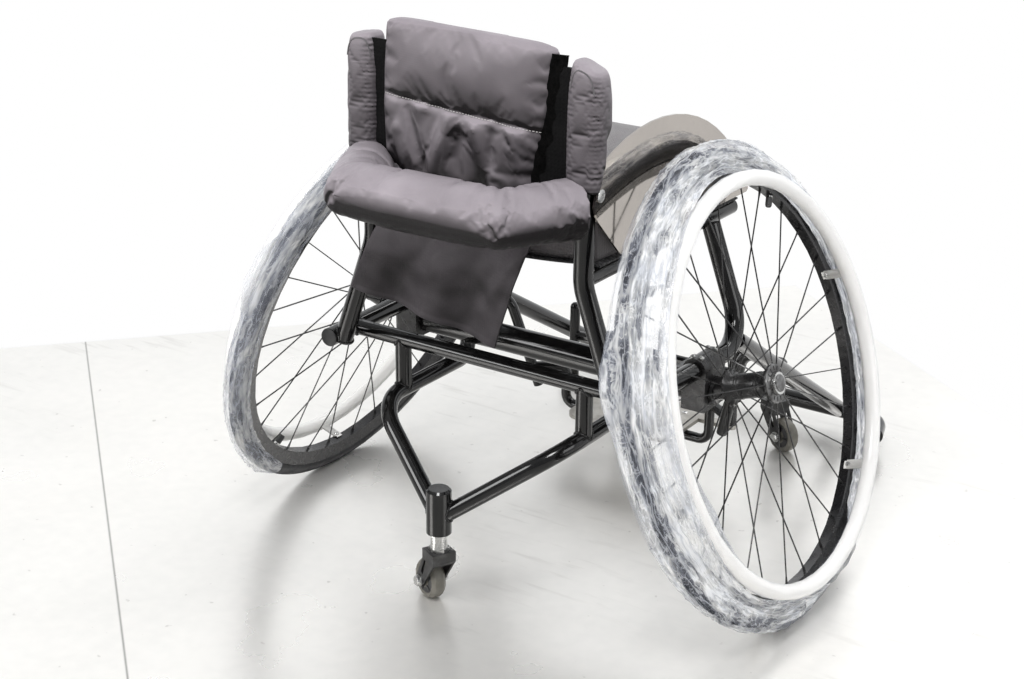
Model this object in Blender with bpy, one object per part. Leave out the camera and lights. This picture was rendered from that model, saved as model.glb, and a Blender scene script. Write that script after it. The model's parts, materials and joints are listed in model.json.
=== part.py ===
"""Basketball wheelchair, built as its separate pieces, in metres with +Z up.

X points to the sitter's right, Y forward and Z up. Every length below is measured
from the point midway between the two drive wheels, so a name that ends in _Y is a
distance ahead of the axles and one that ends in _Z a height above them. The last
step stands the whole chair on the floor with the middle of its outline at X = Y = 0.
"""
from math import atan2, ceil, copysign, cos, exp, hypot, pi, radians, sin, sqrt, tan

import bmesh
import bpy
from mathutils import Matrix, Vector

# Clearance between pieces that touch.
GAP = 0.0003
SIDES = {"right": 1, "left": -1}

# Drive wheels: the same 25 inch class wheel on both sides, leaning in at the top.
CAMBER = radians(18.1)
WHEEL_CENTRE_X = 0.3005
WHEEL_SEGMENTS = 48
TYRE_CENTRE_RADIUS = 0.2925
TYRE_SECTION_RADIUS = 0.012
RIM_DEPTH = 0.028
RIM_BED_RADIUS = TYRE_CENTRE_RADIUS - RIM_DEPTH
RIM_BED_HALF_WIDTH = 0.0070
RIM_HOOK_HALF_WIDTH = 0.0110
RIM_HOOK_WALL = 0.0015
HANDRIM_INSET = 0.003
HANDRIM_RADIUS = RIM_BED_RADIUS - HANDRIM_INSET
HANDRIM_TUBE_RADIUS = 0.0105
HANDRIM_OFFSET = 0.0390
HANDRIM_TABS = 6
TAB_WIDTH = 0.013
TAB_THICKNESS = 0.0025
TAB_REACH_IN = 0.0044
TAB_FIRST_ANGLE = {"right": radians(17.1), "left": radians(30.0)}

# Where the tyres' flats stand, below the axles.
FLOOR_Z = -((TYRE_CENTRE_RADIUS + TYRE_SECTION_RADIUS * cos(CAMBER)) * cos(pi / WHEEL_SEGMENTS)
            * cos(CAMBER) + TYRE_SECTION_RADIUS * sin(CAMBER) ** 2)

# Hub, spokes and quick-release axle, along the axle line measured outwards.
AXLE_RADIUS = 0.00635
HUB_BARREL_RADIUS = 0.0165
HUB_FLANGE_RADIUS = 0.0255
HUB_FLANGE_NOTCH = 0.0022
HUB_FLANGE_WIDTH = 0.0032
HUB_OUTER_FLANGE = 0.0317
HUB_INNER_FLANGE = -0.0301
HUB_END_RADIUS = 0.0125
SPOKES_PER_FLANGE = 15
SPOKE_RADIUS = 0.0010
NIPPLE_RADIUS = 0.0020
NIPPLE_LENGTH = 0.012
SPOKE_RIM_OFFSET = 0.0008
FIRST_OUTER_SPOKE = {"right": radians(-0.9), "left": radians(11.5)}
AXLE_HEAD_RADIUS = 0.0145
AXLE_HEAD_LENGTH = 0.0055
AXLE_INNER_END = -0.080
BUTTON_RADIUS = 0.0110
BUTTON_TRAVEL = 0.0030
BUTTON_LENGTH = 0.0062
BUTTON_STEM_RADIUS = 0.0030
BUTTON_STEM_LENGTH = 0.014

# Frame tubes that lie beside the wheels.
SIDE_TUBE_RADIUS = 0.0127
SIDE_TUBE_REAR_X = 0.2250
SIDE_TUBE_FRONT_X = 0.2335
SIDE_TUBE_REAR_Y = -0.205
SIDE_TUBE_Z = 0.012
RISER_Y = 0.104
RISER_BEND = 0.055
END_CAP_LENGTH = 0.003

# Camber tube, its clamps and the receivers for the axles.
CAMBER_TUBE_RADIUS = 0.019
CAMBER_TUBE_WALL = 0.0025
CAMBER_TUBE_OVERHANG = 0.0015
RECEIVER_PLUG_LENGTH = 0.040
RECEIVER_COLLAR = 0.004
RECEIVER_RADIUS = 0.0155
RECEIVER_OUTER_END = -0.0360
CLAMP_WALL = 0.0038
CLAMP_HALF_LENGTH = 0.0270
CLAMP_EAR_WIDTH = 0.012
CLAMP_EAR_THICKNESS = 0.006

# Seat rails, back posts and the tubes that cross the frame.
SEAT_RAIL_X = 0.160
SEAT_RAIL_Z = 0.167
SEAT_RAIL_RADIUS = 0.011
SEAT_RAIL_FRONT_Y = 0.192
BACK_POST_RADIUS = 0.0125
BACK_POST_X = 0.159
BACK_POST_Y = -0.188
BACK_POST_FOOT_OFFSET = 0.0110
BACK_POST_BEND_Z = 0.159
BACK_POST_TOP_Z = 0.400
CROSS_TUBE_RADIUS = 0.011
CROSS_TUBE_Y = -0.150
CROSS_TUBE_SLOTS = (-0.105, 0.050, 0.125)
SLOT_LENGTH = 0.030
SLOT_WIDTH = 0.0045
SLOT_DEPTH = 0.0020

# Rear frame that carries the small rear caster.
LOWER_TUBE_RADIUS = 0.011
LOWER_TUBE_X = 0.1425
LOWER_TUBE_Z = -0.060
LOWER_TUBE_BEND_Y = -0.203
LOWER_TUBE_FRONT_Y = 0.0
REAR_CASTER_Y = -0.2656
REAR_HOUSING_RADIUS = 0.0165
REAR_HOUSING_ABOVE_FLOOR = 0.1034
REAR_HOUSING_LENGTH = 0.062
REAR_HOUSING_BOTTOM_Z = FLOOR_Z + REAR_HOUSING_ABOVE_FLOOR
REAR_HOUSING_TOP_Z = REAR_HOUSING_BOTTOM_Z + REAR_HOUSING_LENGTH
LOWER_TUBE_END_RISE = 0.020
LOWER_TUBE_END_Z = REAR_HOUSING_BOTTOM_Z + LOWER_TUBE_END_RISE
LOWER_TUBE_KNEE_BEND = 0.024
LOWER_TUBE_REAR_BEND = 0.066

# Front tubes, bumper and front casters.
FRONT_TUBE_RADIUS = 0.0125
FRONT_TUBE_START = (0.2286, 0.094, 0.017)
BUMPER_RADIUS = 0.0127
BUMPER_Y = 0.552
BUMPER_ABOVE_FLOOR = 0.0354
BUMPER_Z = FLOOR_Z + BUMPER_ABOVE_FLOOR
BUMPER_CORNER_X = 0.264
BUMPER_END_X = 0.283
BUMPER_END_Y = 0.488
FRONT_TUBE_END_X = 0.197
FRONT_CASTER_X = 0.135
FRONT_CASTER_Y = 0.438
FRONT_HOUSING_RADIUS = 0.0145
FRONT_HOUSING_ABOVE_FLOOR = 0.0934
FRONT_HOUSING_LENGTH = 0.051
FRONT_HOUSING_BOTTOM_Z = FLOOR_Z + FRONT_HOUSING_ABOVE_FLOOR
FRONT_HOUSING_TOP_Z = FRONT_HOUSING_BOTTOM_Z + FRONT_HOUSING_LENGTH
FRONT_ARM_RADIUS = 0.0105
FRONT_ARM_RISE = 0.030
FRONT_ARM_Z = FRONT_HOUSING_BOTTOM_Z + FRONT_ARM_RISE

# Casters, in their own frame: Z up the swivel axis, X towards the wheel.
CASTER_WHEEL_RADIUS = 0.0262
CASTER_WHEEL_HALF_WIDTH = 0.0115
CASTER_AXLE_RADIUS = 0.0040
CASTER_SEGMENTS = 16
FORK_SIDE_GAP = 0.0018
FORK_WALL = 0.0034
FORK_CROWN_RADIUS = 0.0150
FORK_CROWN_ABOVE_WHEEL = 0.0515
FORK_BOSS_RADIUS = 0.0095
FORK_SLOT_RADIUS = 0.0032
STEM_RADIUS = 0.0060
STEM_DEPTH_IN_HOUSING = 0.030
STEM_COLLAR_RADIUS = 0.0105
CASTER_BOLT_HEAD_RADIUS = 0.0065
CASTER_BOLT_HEAD_LENGTH = 0.0040
CASTERS = {
    "rear": (0.0, REAR_CASTER_Y, REAR_HOUSING_BOTTOM_Z, 0.0236, radians(154)),
    "front_right": (FRONT_CASTER_X, FRONT_CASTER_Y, FRONT_HOUSING_BOTTOM_Z, 0.0236, radians(338)),
    "front_left": (-FRONT_CASTER_X, FRONT_CASTER_Y, FRONT_HOUSING_BOTTOM_Z, 0.0236, radians(331)),
}

# Footrest.
HANGER_RADIUS = 0.008
HANGER_TOP_Y = 0.180
HANGER_KNEE = (0.196, 0.186, -0.043)
FOOTPLATE_ABOVE_FLOOR = 0.0924
FOOTPLATE_TOP_Z = FLOOR_Z + FOOTPLATE_ABOVE_FLOOR
HANGER_END_RISE = 0.017
HANGER_END = (0.158, 0.211, FOOTPLATE_TOP_Z + HANGER_END_RISE)
FOOTPLATE_THICKNESS = 0.006
FOOTPLATE_HALF_WIDTH = 0.088
FOOTPLATE_REAR_Y = 0.172
FOOTPLATE_FRONT_Y = 0.312
FOOTPLATE_CORNER = 0.022
FOOT_ROD_RADIUS = 0.008
FOOT_ROD_X = 0.138
FOOT_ROD_Y = 0.280
FOOT_ROD_LENGTH = 0.135
FOOT_ROD_TOP_Z = FOOTPLATE_TOP_Z + FOOT_ROD_LENGTH
FOOT_BAR_RISE = 0.082
FOOT_BAR_Z = FOOTPLATE_TOP_Z + FOOT_BAR_RISE
CRADLE_RADIUS = 0.0075
CRADLE_X = 0.124
CRADLE_Y = 0.236
CRADLE_HEIGHT = 0.047
CRADLE_TOP_Z = FOOTPLATE_TOP_Z + CRADLE_HEIGHT

# Seat and back upholstery.
SLING_THICKNESS = 0.0025
SLING_SAG = 0.010
SLING_REAR_Y = -0.168
CUSHION_HALF_WIDTH = 0.166
CUSHION_REAR_Y = -0.166
CUSHION_FRONT_Y = 0.212
CUSHION_THICKNESS = 0.080
GUARD_X = 0.1765
GUARD_THICKNESS = 0.003
GUARD_ARC_Y = -0.052
GUARD_ARC_Z = 0.039
GUARD_ARC_RADIUS = 0.301
GUARD_LOW_Z = 0.188
GUARD_FRONT_Y = 0.202
GUARD_FRONT_RISE = 0.040
GUARD_FRONT_CORNER = 0.004
GUARD_FOOT_Y = -0.134
GUARD_REAR_CORNERS = ((-0.190, 0.243), (-0.199, 0.262))
GUARD_SHOULDER = (-0.182, 0.311)
GUARD_BOLT_Y = -0.189
GUARD_BOLT_Z = 0.275
BOLSTER_INNER_X = 0.139
BOLSTER_OUTER_X = 0.187
BOLSTER_REAR_Y = -0.212
BOLSTER_FRONT_Y = -0.168
BOLSTER_ABOVE_BAR = 0.0115
BOLSTER_TOP_Z = 0.428
BOLSTER_TOP_LEAN = {"right": 0.009, "left": 0.002}
BOLSTER_FLARE = 0.038
PANEL_TOP_Z = 0.450
PANEL_BOTTOM_Z = 0.215
PANEL_Y = -0.202
PANEL_THICKNESS = 0.024
PANEL_TOP_TILT = 0.004
PANEL_CORNER_DROP = 0.008
PANEL_TOP_HALF_WIDTH = 0.127
PANEL_LOW_HALF_WIDTH = 0.097
PANEL_WAIST_Z = 0.288
PANEL_LEFT_TAPER = 0.030
PANEL_SEAM_Z = 0.351
PANEL_SEAM_TILT = -0.075
STRAP_LOW_Z = 0.288
STRAP_HIGH_Z = 0.424
STRAP_REAR = 0.001
STRAP_FRONT = 0.003
STRAP_TUCK = 0.018
STRAP_REACH = 0.004
FLAP_THICKNESS = 0.004
FLAP_Y = -0.222
FLAP_TOP_LEFT_X = -0.120
FLAP_TOP_RIGHT_X = 0.101
FLAP_LOW_LEFT = (-0.166, 0.104)
FLAP_LOW_RIGHT = (0.061, 0.070)
FLAP_FOLD = 0.006
FLAP_LEAN = 0.004
PUSH_BAR_RADIUS = 0.011
PUSH_BAR_Z = 0.2575
PUSH_BAR_CORNER_X = 0.105
PUSH_BAR_BACK_Y = -0.290
PUSH_BAR_BEND = 0.035
PAD_RADIUS = 0.036
PAD_START = 0.014

TUBE_FACETS = 12
THIN_TUBE_FACETS = 10

BLACK_PAINT = ("black_paint", (0.012, 0.012, 0.014), 0.25, 0.0)
BLACK_METAL = ("black_metal", (0.02, 0.02, 0.022), 0.4, 0.6)
NYLON = ("black_nylon", (0.075, 0.07, 0.08), 0.7, 0.0)
SEAT_CLOTH = ("seat_cloth", (0.10, 0.095, 0.105), 0.85, 0.0)
SLING_CLOTH = ("sling_cloth", (0.02, 0.02, 0.022), 0.8, 0.0)
RUBBER = ("tyre_rubber", (0.03, 0.03, 0.032), 0.75, 0.0)
RIM_BLACK = ("rim_anodised", (0.02, 0.02, 0.022), 0.35, 0.7)
HANDRIM_WHITE = ("handrim_grip", (0.82, 0.82, 0.80), 0.4, 0.0)
SILVER = ("bright_steel", (0.72, 0.72, 0.70), 0.25, 1.0)
TREAD = ("caster_tread", (0.42, 0.41, 0.36), 0.6, 0.0)
FORK_BLACK = ("fork_black", (0.02, 0.02, 0.022), 0.45, 0.2)
PLATE_ALLOY = ("plate_alloy", (0.55, 0.53, 0.50), 0.45, 0.6)
GUARD_BLACK = ("guard_laminate", (0.05, 0.047, 0.045), 0.2, 0.0)


def finish_material(finish):
    """The Principled material of a finish, made once and then shared."""
    name, colour, roughness, metallic = finish
    if name in bpy.data.materials:
        return bpy.data.materials[name]
    made = bpy.data.materials.new(name)
    made.use_nodes = True
    shader = made.node_tree.nodes["Principled BSDF"]
    shader.inputs["Base Color"].default_value = (*colour, 1.0)
    shader.inputs["Roughness"].default_value = roughness
    shader.inputs["Metallic"].default_value = metallic
    made.diffuse_color = (*colour, 1.0)
    return made


def add_piece(name, shape, finish, matrix=None):
    """Turn a bmesh into a named object under the chair's empty."""
    bmesh.ops.recalc_face_normals(shape, faces=shape.faces)
    mesh = bpy.data.meshes.new(name)
    shape.to_mesh(mesh)
    shape.free()
    piece = bpy.data.objects.new(name, mesh)
    bpy.context.scene.collection.objects.link(piece)
    piece.matrix_world = matrix or Matrix.Identity(4)
    mesh.materials.append(finish_material(finish))
    mesh.shade_smooth()
    mesh.set_sharp_from_angle(angle=radians(38))
    return piece


def combine(piece, tool_shape, operation, matrix=None):
    """Cut a shape from a piece, or fuse it on, and keep the result as its mesh."""
    material = piece.data.materials[0]
    tool = add_piece("tool", tool_shape, BLACK_METAL, matrix)
    tool.hide_render = True
    tool.display_type = "WIRE"
    step = piece.modifiers.new(operation.title(), "BOOLEAN")
    step.operation = operation
    step.solver = "EXACT"
    step.object = tool
    bpy.context.view_layer.update()
    evaluated = piece.evaluated_get(bpy.context.evaluated_depsgraph_get())
    result = bpy.data.meshes.new_from_object(evaluated)
    piece.modifiers.clear()
    old = piece.data
    piece.data = result
    bpy.data.meshes.remove(old)
    bpy.data.objects.remove(tool)
    result.materials.clear()
    result.materials.append(material)
    result.shade_smooth()
    result.set_sharp_from_angle(angle=radians(38))


def rounded(points, bends):
    """A path through points whose inner corners are arcs of the given radii."""
    points = [Vector(point) for point in points]
    if not isinstance(bends, (list, tuple)):
        bends = [bends] * (len(points) - 2)
    path = [points[0]]
    for before, corner, after, radius in zip(points, points[1:], points[2:], bends):
        arriving = (corner - before).normalized()
        leaving = (after - corner).normalized()
        turn = arriving.angle(leaving)
        reach = radius * tan(turn / 2)
        middle = corner + (leaving - arriving).normalized() * radius / cos(turn / 2)
        start = corner - arriving * reach - middle
        steps = max(2, ceil(turn / radians(20)))
        swing = Matrix.Rotation(turn / steps, 3, arriving.cross(leaving))
        for _ in range(steps + 1):
            path.append(middle + start)
            start = swing @ start
    path.append(points[-1])
    return path


def tube_rings(path, radius, facets):
    """Rings of points round a path; the radius may change along it."""
    rings = []
    across = None
    for index, point in enumerate(path):
        ahead = path[min(index + 1, len(path) - 1)] - point
        behind = point - path[max(index - 1, 0)]
        along = (ahead.normalized() + behind.normalized()).normalized()
        if across is None:
            upright = Vector((0, 0, 1)) if abs(along.z) < 0.9 else Vector((0, 1, 0))
            across = upright.cross(along)
        across = (across - along * across.dot(along)).normalized()
        lift = along.cross(across)
        size = radius(index / (len(path) - 1)) if callable(radius) else radius
        angles = [2 * pi * (step + 0.5) / facets for step in range(facets)]
        rings.append([point + (across * cos(a) + lift * sin(a)) * size for a in angles])
    return rings


def skin(rings, closed=False, capped=True):
    """A surface over rings of equal length, with flat ends or closed on itself."""
    shape = bmesh.new()
    rows = [[shape.verts.new(point) for point in ring] for ring in rings]
    pairs = list(zip(rows, rows[1:]))
    if closed:
        pairs.append((rows[-1], rows[0]))
    for first, second in pairs:
        for index in range(len(first)):
            after = (index + 1) % len(first)
            shape.faces.new((first[index], first[after], second[after], second[index]))
    if capped and not closed:
        shape.faces.new(rows[0])
        shape.faces.new(rows[-1])
    return shape


def tube(path, radius, facets=TUBE_FACETS):
    """A solid round bar along a path."""
    return skin(tube_rings(path, radius, facets))


def around(path, radius, facets=TUBE_FACETS):
    """The cutter that leaves the usual gap round a tube of the same path."""
    return tube(path, radius + GAP / cos(pi / facets), facets)


def sleeve(path, outer, inner, facets):
    """An open-ended pipe along a path."""
    return skin(tube_rings(path, outer, facets) + tube_rings(path, inner, facets)[::-1],
                closed=True)


def lathe(profile, segments, closed=False, phase=0.0):
    """Turn a profile of (radius, height) points round Z; ends on the axis close it."""
    shape = bmesh.new()
    turned = Matrix.Rotation(phase, 3, "Z")
    points = [shape.verts.new(turned @ Vector((radius, 0, height))) for radius, height in profile]
    links = list(zip(points, points[1:]))
    if closed:
        links.append((points[-1], points[0]))
    edges = [shape.edges.new(link) for link in links]
    bmesh.ops.spin(shape, geom=points + edges, axis=(0, 0, 1), cent=(0, 0, 0), angle=2 * pi,
                   steps=segments, use_merge=True)
    bmesh.ops.remove_doubles(shape, verts=shape.verts, dist=1e-6)
    return shape


def prism(outline, depth, axes):
    """An outline drawn in two directions and pushed along a third, centred on it."""
    across, up, along = (Vector(axis) for axis in axes)
    rings = [[across * u + up * v + along * shift for u, v in outline]
             for shift in (-depth / 2, depth / 2)]
    return skin(rings)


def box(low, high):
    """A block between two corners."""
    outline = [(low[0], low[1]), (high[0], low[1]), (high[0], high[1]), (low[0], high[1])]
    return skin([[(x, y, z) for x, y in outline] for z in (low[2], high[2])])


def pad_between(front, back, columns, rows):
    """A closed pad between two surfaces, each a function of s and t from -1 to 1."""
    shape = bmesh.new()
    grids = []
    for surface in (front, back):
        grid = []
        for row in range(rows + 1):
            t = 2 * row / rows - 1
            line = [shape.verts.new(surface(2 * column / columns - 1, t))
                    for column in range(columns + 1)]
            grid.append(line)
        for low, high in zip(grid, grid[1:]):
            for column in range(columns):
                shape.faces.new((low[column], low[column + 1], high[column + 1], high[column]))
        grids.append(grid)
    borders = []
    for grid in grids:
        right = [line[-1] for line in grid[1:-1]]
        left = [line[0] for line in grid[-2:0:-1]]
        borders.append(grid[0] + right + grid[-1][::-1] + left)
    count = len(borders[0])
    for index in range(count):
        after = (index + 1) % count
        shape.faces.new((borders[0][index], borders[0][after], borders[1][after],
                         borders[1][index]))
    return shape


def arc(centre, radius, start, end, steps):
    """Points of an arc as (u, v) pairs."""
    turns = [start + (end - start) * step / steps for step in range(steps + 1)]
    return [(centre[0] + radius * cos(turn), centre[1] + radius * sin(turn)) for turn in turns]


def wheel_matrix(side):
    """Frame of a drive wheel: Z outwards along its axle, X forward on the right."""
    right = Matrix(((0, -sin(CAMBER), cos(CAMBER), WHEEL_CENTRE_X), (1, 0, 0, 0),
                    (0, cos(CAMBER), sin(CAMBER), 0), (0, 0, 0, 1)))
    return right if side > 0 else Matrix.Rotation(pi, 4, "Z") @ right


def mirrored(side, points):
    """Points written for the right side, moved to the asked side."""
    return [Vector((side * point[0], point[1], point[2])) for point in points]


def side_tube_path(side):
    """From the rear cap forward and round the bend into the riser to the seat rail."""
    top = (SEAT_RAIL_X + SEAT_RAIL_RADIUS + 0.0055, RISER_Y, SEAT_RAIL_Z)
    corner = (SIDE_TUBE_FRONT_X, RISER_Y, SIDE_TUBE_Z)
    rear = (SIDE_TUBE_REAR_X, SIDE_TUBE_REAR_Y, SIDE_TUBE_Z)
    return rounded(mirrored(side, [rear, corner, top]), RISER_BEND)


def side_tube_x(y):
    """How far out the straight part of the side tube lies at a given length."""
    share = (y - SIDE_TUBE_REAR_Y) / (RISER_Y - SIDE_TUBE_REAR_Y)
    return SIDE_TUBE_REAR_X + (SIDE_TUBE_FRONT_X - SIDE_TUBE_REAR_X) * share


def camber_tube_z():
    """The camber tube lies right under the side tubes."""
    return SIDE_TUBE_Z - SIDE_TUBE_RADIUS - GAP - CAMBER_TUBE_RADIUS


def saddle_reach():
    """Half the width of the clamp over the side tube."""
    return SIDE_TUBE_RADIUS + GAP + CLAMP_WALL


def camber_tube_end():
    """The camber tube ends just outside its clamps."""
    return side_tube_x(0) + saddle_reach() + CAMBER_TUBE_OVERHANG


def camber_tube_path():
    end, height = camber_tube_end(), camber_tube_z()
    return [Vector((-end, 0, height)), Vector((end, 0, height))]


def seat_rail_path(side):
    return mirrored(side, [(SEAT_RAIL_X, BACK_POST_Y, SEAT_RAIL_Z),
                           (SEAT_RAIL_X, SEAT_RAIL_FRONT_Y, SEAT_RAIL_Z)])


def back_post_path(side):
    foot = (side_tube_x(BACK_POST_Y) - BACK_POST_FOOT_OFFSET, BACK_POST_Y, SIDE_TUBE_Z - 0.006)
    bend = (BACK_POST_X, BACK_POST_Y, BACK_POST_BEND_Z)
    top = (BACK_POST_X, BACK_POST_Y, BACK_POST_TOP_Z)
    return rounded(mirrored(side, [foot, bend, top]), 0.070)


def cross_tube_path():
    reach = side_tube_x(CROSS_TUBE_Y)
    return [Vector((-reach, CROSS_TUBE_Y, SIDE_TUBE_Z)), Vector((reach, CROSS_TUBE_Y, SIDE_TUBE_Z))]


def lower_tube_path(side):
    front = (LOWER_TUBE_X, LOWER_TUBE_FRONT_Y, camber_tube_z())
    knee = (LOWER_TUBE_X, LOWER_TUBE_FRONT_Y, LOWER_TUBE_Z)
    bend = (LOWER_TUBE_X, LOWER_TUBE_BEND_Y, LOWER_TUBE_Z)
    end = (0, REAR_CASTER_Y, LOWER_TUBE_END_Z)
    return rounded(mirrored(side, [front, knee, bend, end]), [LOWER_TUBE_KNEE_BEND, LOWER_TUBE_REAR_BEND])


def lower_post_path(side):
    return mirrored(side, [(LOWER_TUBE_X, CROSS_TUBE_Y, SIDE_TUBE_Z),
                           (LOWER_TUBE_X, CROSS_TUBE_Y, LOWER_TUBE_Z)])


def bumper_path():
    right = [(BUMPER_CORNER_X, BUMPER_Y, BUMPER_Z), (BUMPER_END_X, BUMPER_END_Y, BUMPER_Z)]
    return rounded(mirrored(-1, right[::-1]) + mirrored(1, right), 0.045)


def front_tube_path(side):
    return mirrored(side, [FRONT_TUBE_START, (FRONT_TUBE_END_X, BUMPER_Y, BUMPER_Z)])


def front_tube_point(y):
    """The point of the right front tube's middle line at a given length."""
    start, end = front_tube_path(1)
    return start.lerp(end, (y - start.y) / (end.y - start.y))


def hanger_path(side):
    top = front_tube_point(HANGER_TOP_Y)
    return rounded(mirrored(side, [top, HANGER_KNEE, HANGER_END]), 0.030)


def hanger_point(z):
    """The point of the right hanger's straight lower part at a given height."""
    knee, end = Vector(HANGER_KNEE), Vector(HANGER_END)
    return knee.lerp(end, (z - knee.z) / (end.z - knee.z))


def cradle_path():
    low = FOOTPLATE_TOP_Z - FOOTPLATE_THICKNESS - GAP - CRADLE_RADIUS
    right = [(CRADLE_X, CRADLE_Y, low), (CRADLE_X, CRADLE_Y, CRADLE_TOP_Z),
             hanger_point(CRADLE_TOP_Z)]
    points = mirrored(-1, right[::-1]) + mirrored(1, right)
    return rounded(points, [0.012, 0.016, 0.016, 0.012])


def foot_rod_path(side):
    low = FOOTPLATE_TOP_Z + GAP
    return mirrored(side, [(FOOT_ROD_X, FOOT_ROD_Y, low), (FOOT_ROD_X, FOOT_ROD_Y, FOOT_ROD_TOP_Z)])


def foot_bar_path():
    return [Vector((-FOOT_ROD_X, FOOT_ROD_Y, FOOT_BAR_Z)), Vector((FOOT_ROD_X, FOOT_ROD_Y, FOOT_BAR_Z))]


def push_bar_path():
    right = [(PUSH_BAR_CORNER_X, PUSH_BAR_BACK_Y, PUSH_BAR_Z), (BACK_POST_X, BACK_POST_Y, PUSH_BAR_Z)]
    return rounded(mirrored(-1, right[::-1]) + mirrored(1, right), PUSH_BAR_BEND)


def make_frame():
    """The tubes that are welded to each other, cut where they meet."""
    for label, side in SIDES.items():
        side_path = side_tube_path(side)
        rail_path = seat_rail_path(side)
        post_path = back_post_path(side)
        rail = add_piece(f"seat_rail_{label}", tube(rail_path, SEAT_RAIL_RADIUS), BLACK_PAINT)
        combine(rail, around(post_path, BACK_POST_RADIUS), "DIFFERENCE")
        beam = add_piece(f"side_tube_{label}", tube(side_path, SIDE_TUBE_RADIUS), BLACK_PAINT)
        combine(beam, around(rail_path, SEAT_RAIL_RADIUS), "DIFFERENCE")
        rear = side_path[0]
        cap = lathe([(0, 0), (SIDE_TUBE_RADIUS + 0.001, 0), (SIDE_TUBE_RADIUS + 0.001, 0.002),
                     (SIDE_TUBE_RADIUS - 0.001, END_CAP_LENGTH), (0, END_CAP_LENGTH)], TUBE_FACETS)
        turned = Matrix.Translation(rear) @ Matrix.Rotation(pi / 2, 4, "X")
        combine(beam, cap, "UNION", turned)
        post = add_piece(f"back_post_{label}", tube(post_path, BACK_POST_RADIUS), BLACK_PAINT)
        combine(post, around(side_path, SIDE_TUBE_RADIUS), "DIFFERENCE")
        front = add_piece(f"front_tube_{label}", tube(front_tube_path(side), FRONT_TUBE_RADIUS),
                          BLACK_PAINT)
        combine(front, around(side_path, SIDE_TUBE_RADIUS), "DIFFERENCE")
        combine(front, around(bumper_path(), BUMPER_RADIUS), "DIFFERENCE")
    cross = add_piece("rear_cross_tube", tube(cross_tube_path(), CROSS_TUBE_RADIUS), BLACK_PAINT)
    for side in SIDES.values():
        combine(cross, around(side_tube_path(side), SIDE_TUBE_RADIUS), "DIFFERENCE")
    for x in CROSS_TUBE_SLOTS:
        top = SIDE_TUBE_Z + CROSS_TUBE_RADIUS
        slot = box((x - SLOT_LENGTH / 2, CROSS_TUBE_Y - SLOT_WIDTH / 2, top - SLOT_DEPTH),
                   (x + SLOT_LENGTH / 2, CROSS_TUBE_Y + SLOT_WIDTH / 2, top + SLOT_DEPTH))
        combine(cross, slot, "DIFFERENCE")
    add_piece("front_bumper", tube(bumper_path(), BUMPER_RADIUS), BLACK_PAINT)


def make_camber_tube():
    """The tube across the chair that holds the two axle receivers."""
    path = camber_tube_path()
    bore = CAMBER_TUBE_RADIUS - CAMBER_TUBE_WALL
    add_piece("camber_tube", sleeve(path, CAMBER_TUBE_RADIUS, bore, 16), BLACK_METAL)
    for label, side in SIDES.items():
        make_clamp(label, side, path)
        make_receiver(label, side, bore * cos(pi / 16) - GAP)


def make_clamp(label, side, camber_path):
    """Saddle over the side tube, joined to the block round the camber tube."""
    x = side_tube_x(0) * side
    reach = saddle_reach()
    low = camber_tube_z() - CAMBER_TUBE_RADIUS - GAP - CLAMP_WALL
    outline = [(x + u, SIDE_TUBE_Z + v) for u, v in arc((0, 0), reach, 0, pi, 10)]
    outline += [(x - reach, low), (x + reach, low)]
    axes = ((1, 0, 0), (0, 0, 1), (0, 1, 0))
    clamp = add_piece(f"camber_clamp_{label}", prism(outline, 2 * CLAMP_HALF_LENGTH, axes), BLACK_METAL)
    inner = x - side * reach
    ear_low = SIDE_TUBE_Z - CLAMP_EAR_THICKNESS
    ends = sorted((inner - side * CLAMP_EAR_WIDTH, inner + side * 0.003))
    ear = box((ends[0], -CLAMP_HALF_LENGTH, ear_low), (ends[1], CLAMP_HALF_LENGTH, SIDE_TUBE_Z))
    combine(clamp, ear, "UNION")
    combine(clamp, around(side_tube_path(side), SIDE_TUBE_RADIUS), "DIFFERENCE")
    combine(clamp, around(camber_path, CAMBER_TUBE_RADIUS, 16), "DIFFERENCE")


def make_receiver(label, side, plug_radius):
    """Plug in the camber tube's end with a boss bored along the leaning axle."""
    middle = camber_tube_z()
    start = camber_tube_end() - RECEIVER_PLUG_LENGTH
    seat = camber_tube_end() + GAP
    inside = (seat - WHEEL_CENTRE_X) / cos(CAMBER) - RECEIVER_RADIUS
    boss = lathe([(0, inside), (RECEIVER_RADIUS, inside), (RECEIVER_RADIUS, RECEIVER_OUTER_END),
                  (0, RECEIVER_OUTER_END)], 16)
    receiver = add_piece(f"axle_receiver_{label}", boss, BLACK_METAL, wheel_matrix(side))
    ends = sorted((side * seat, side * start))
    combine(receiver, box((ends[0], -0.1, -0.1), (ends[1], 0.1, 0.1)), "DIFFERENCE")
    profile = [(0, start), (plug_radius, start), (plug_radius, seat), (CAMBER_TUBE_RADIUS, seat),
               (CAMBER_TUBE_RADIUS, seat + RECEIVER_COLLAR), (0, seat + RECEIVER_COLLAR)]
    turned = Matrix.Translation((0, 0, middle)) @ Matrix.Rotation(side * pi / 2, 4, "Y")
    combine(receiver, lathe(profile, 16), "UNION", turned)
    bore_end = AXLE_INNER_END - GAP
    hole = AXLE_RADIUS + GAP
    bore = lathe([(0, bore_end), (hole, bore_end), (hole, 0), (0, 0)], 16)
    combine(receiver, bore, "DIFFERENCE", wheel_matrix(side))


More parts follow.
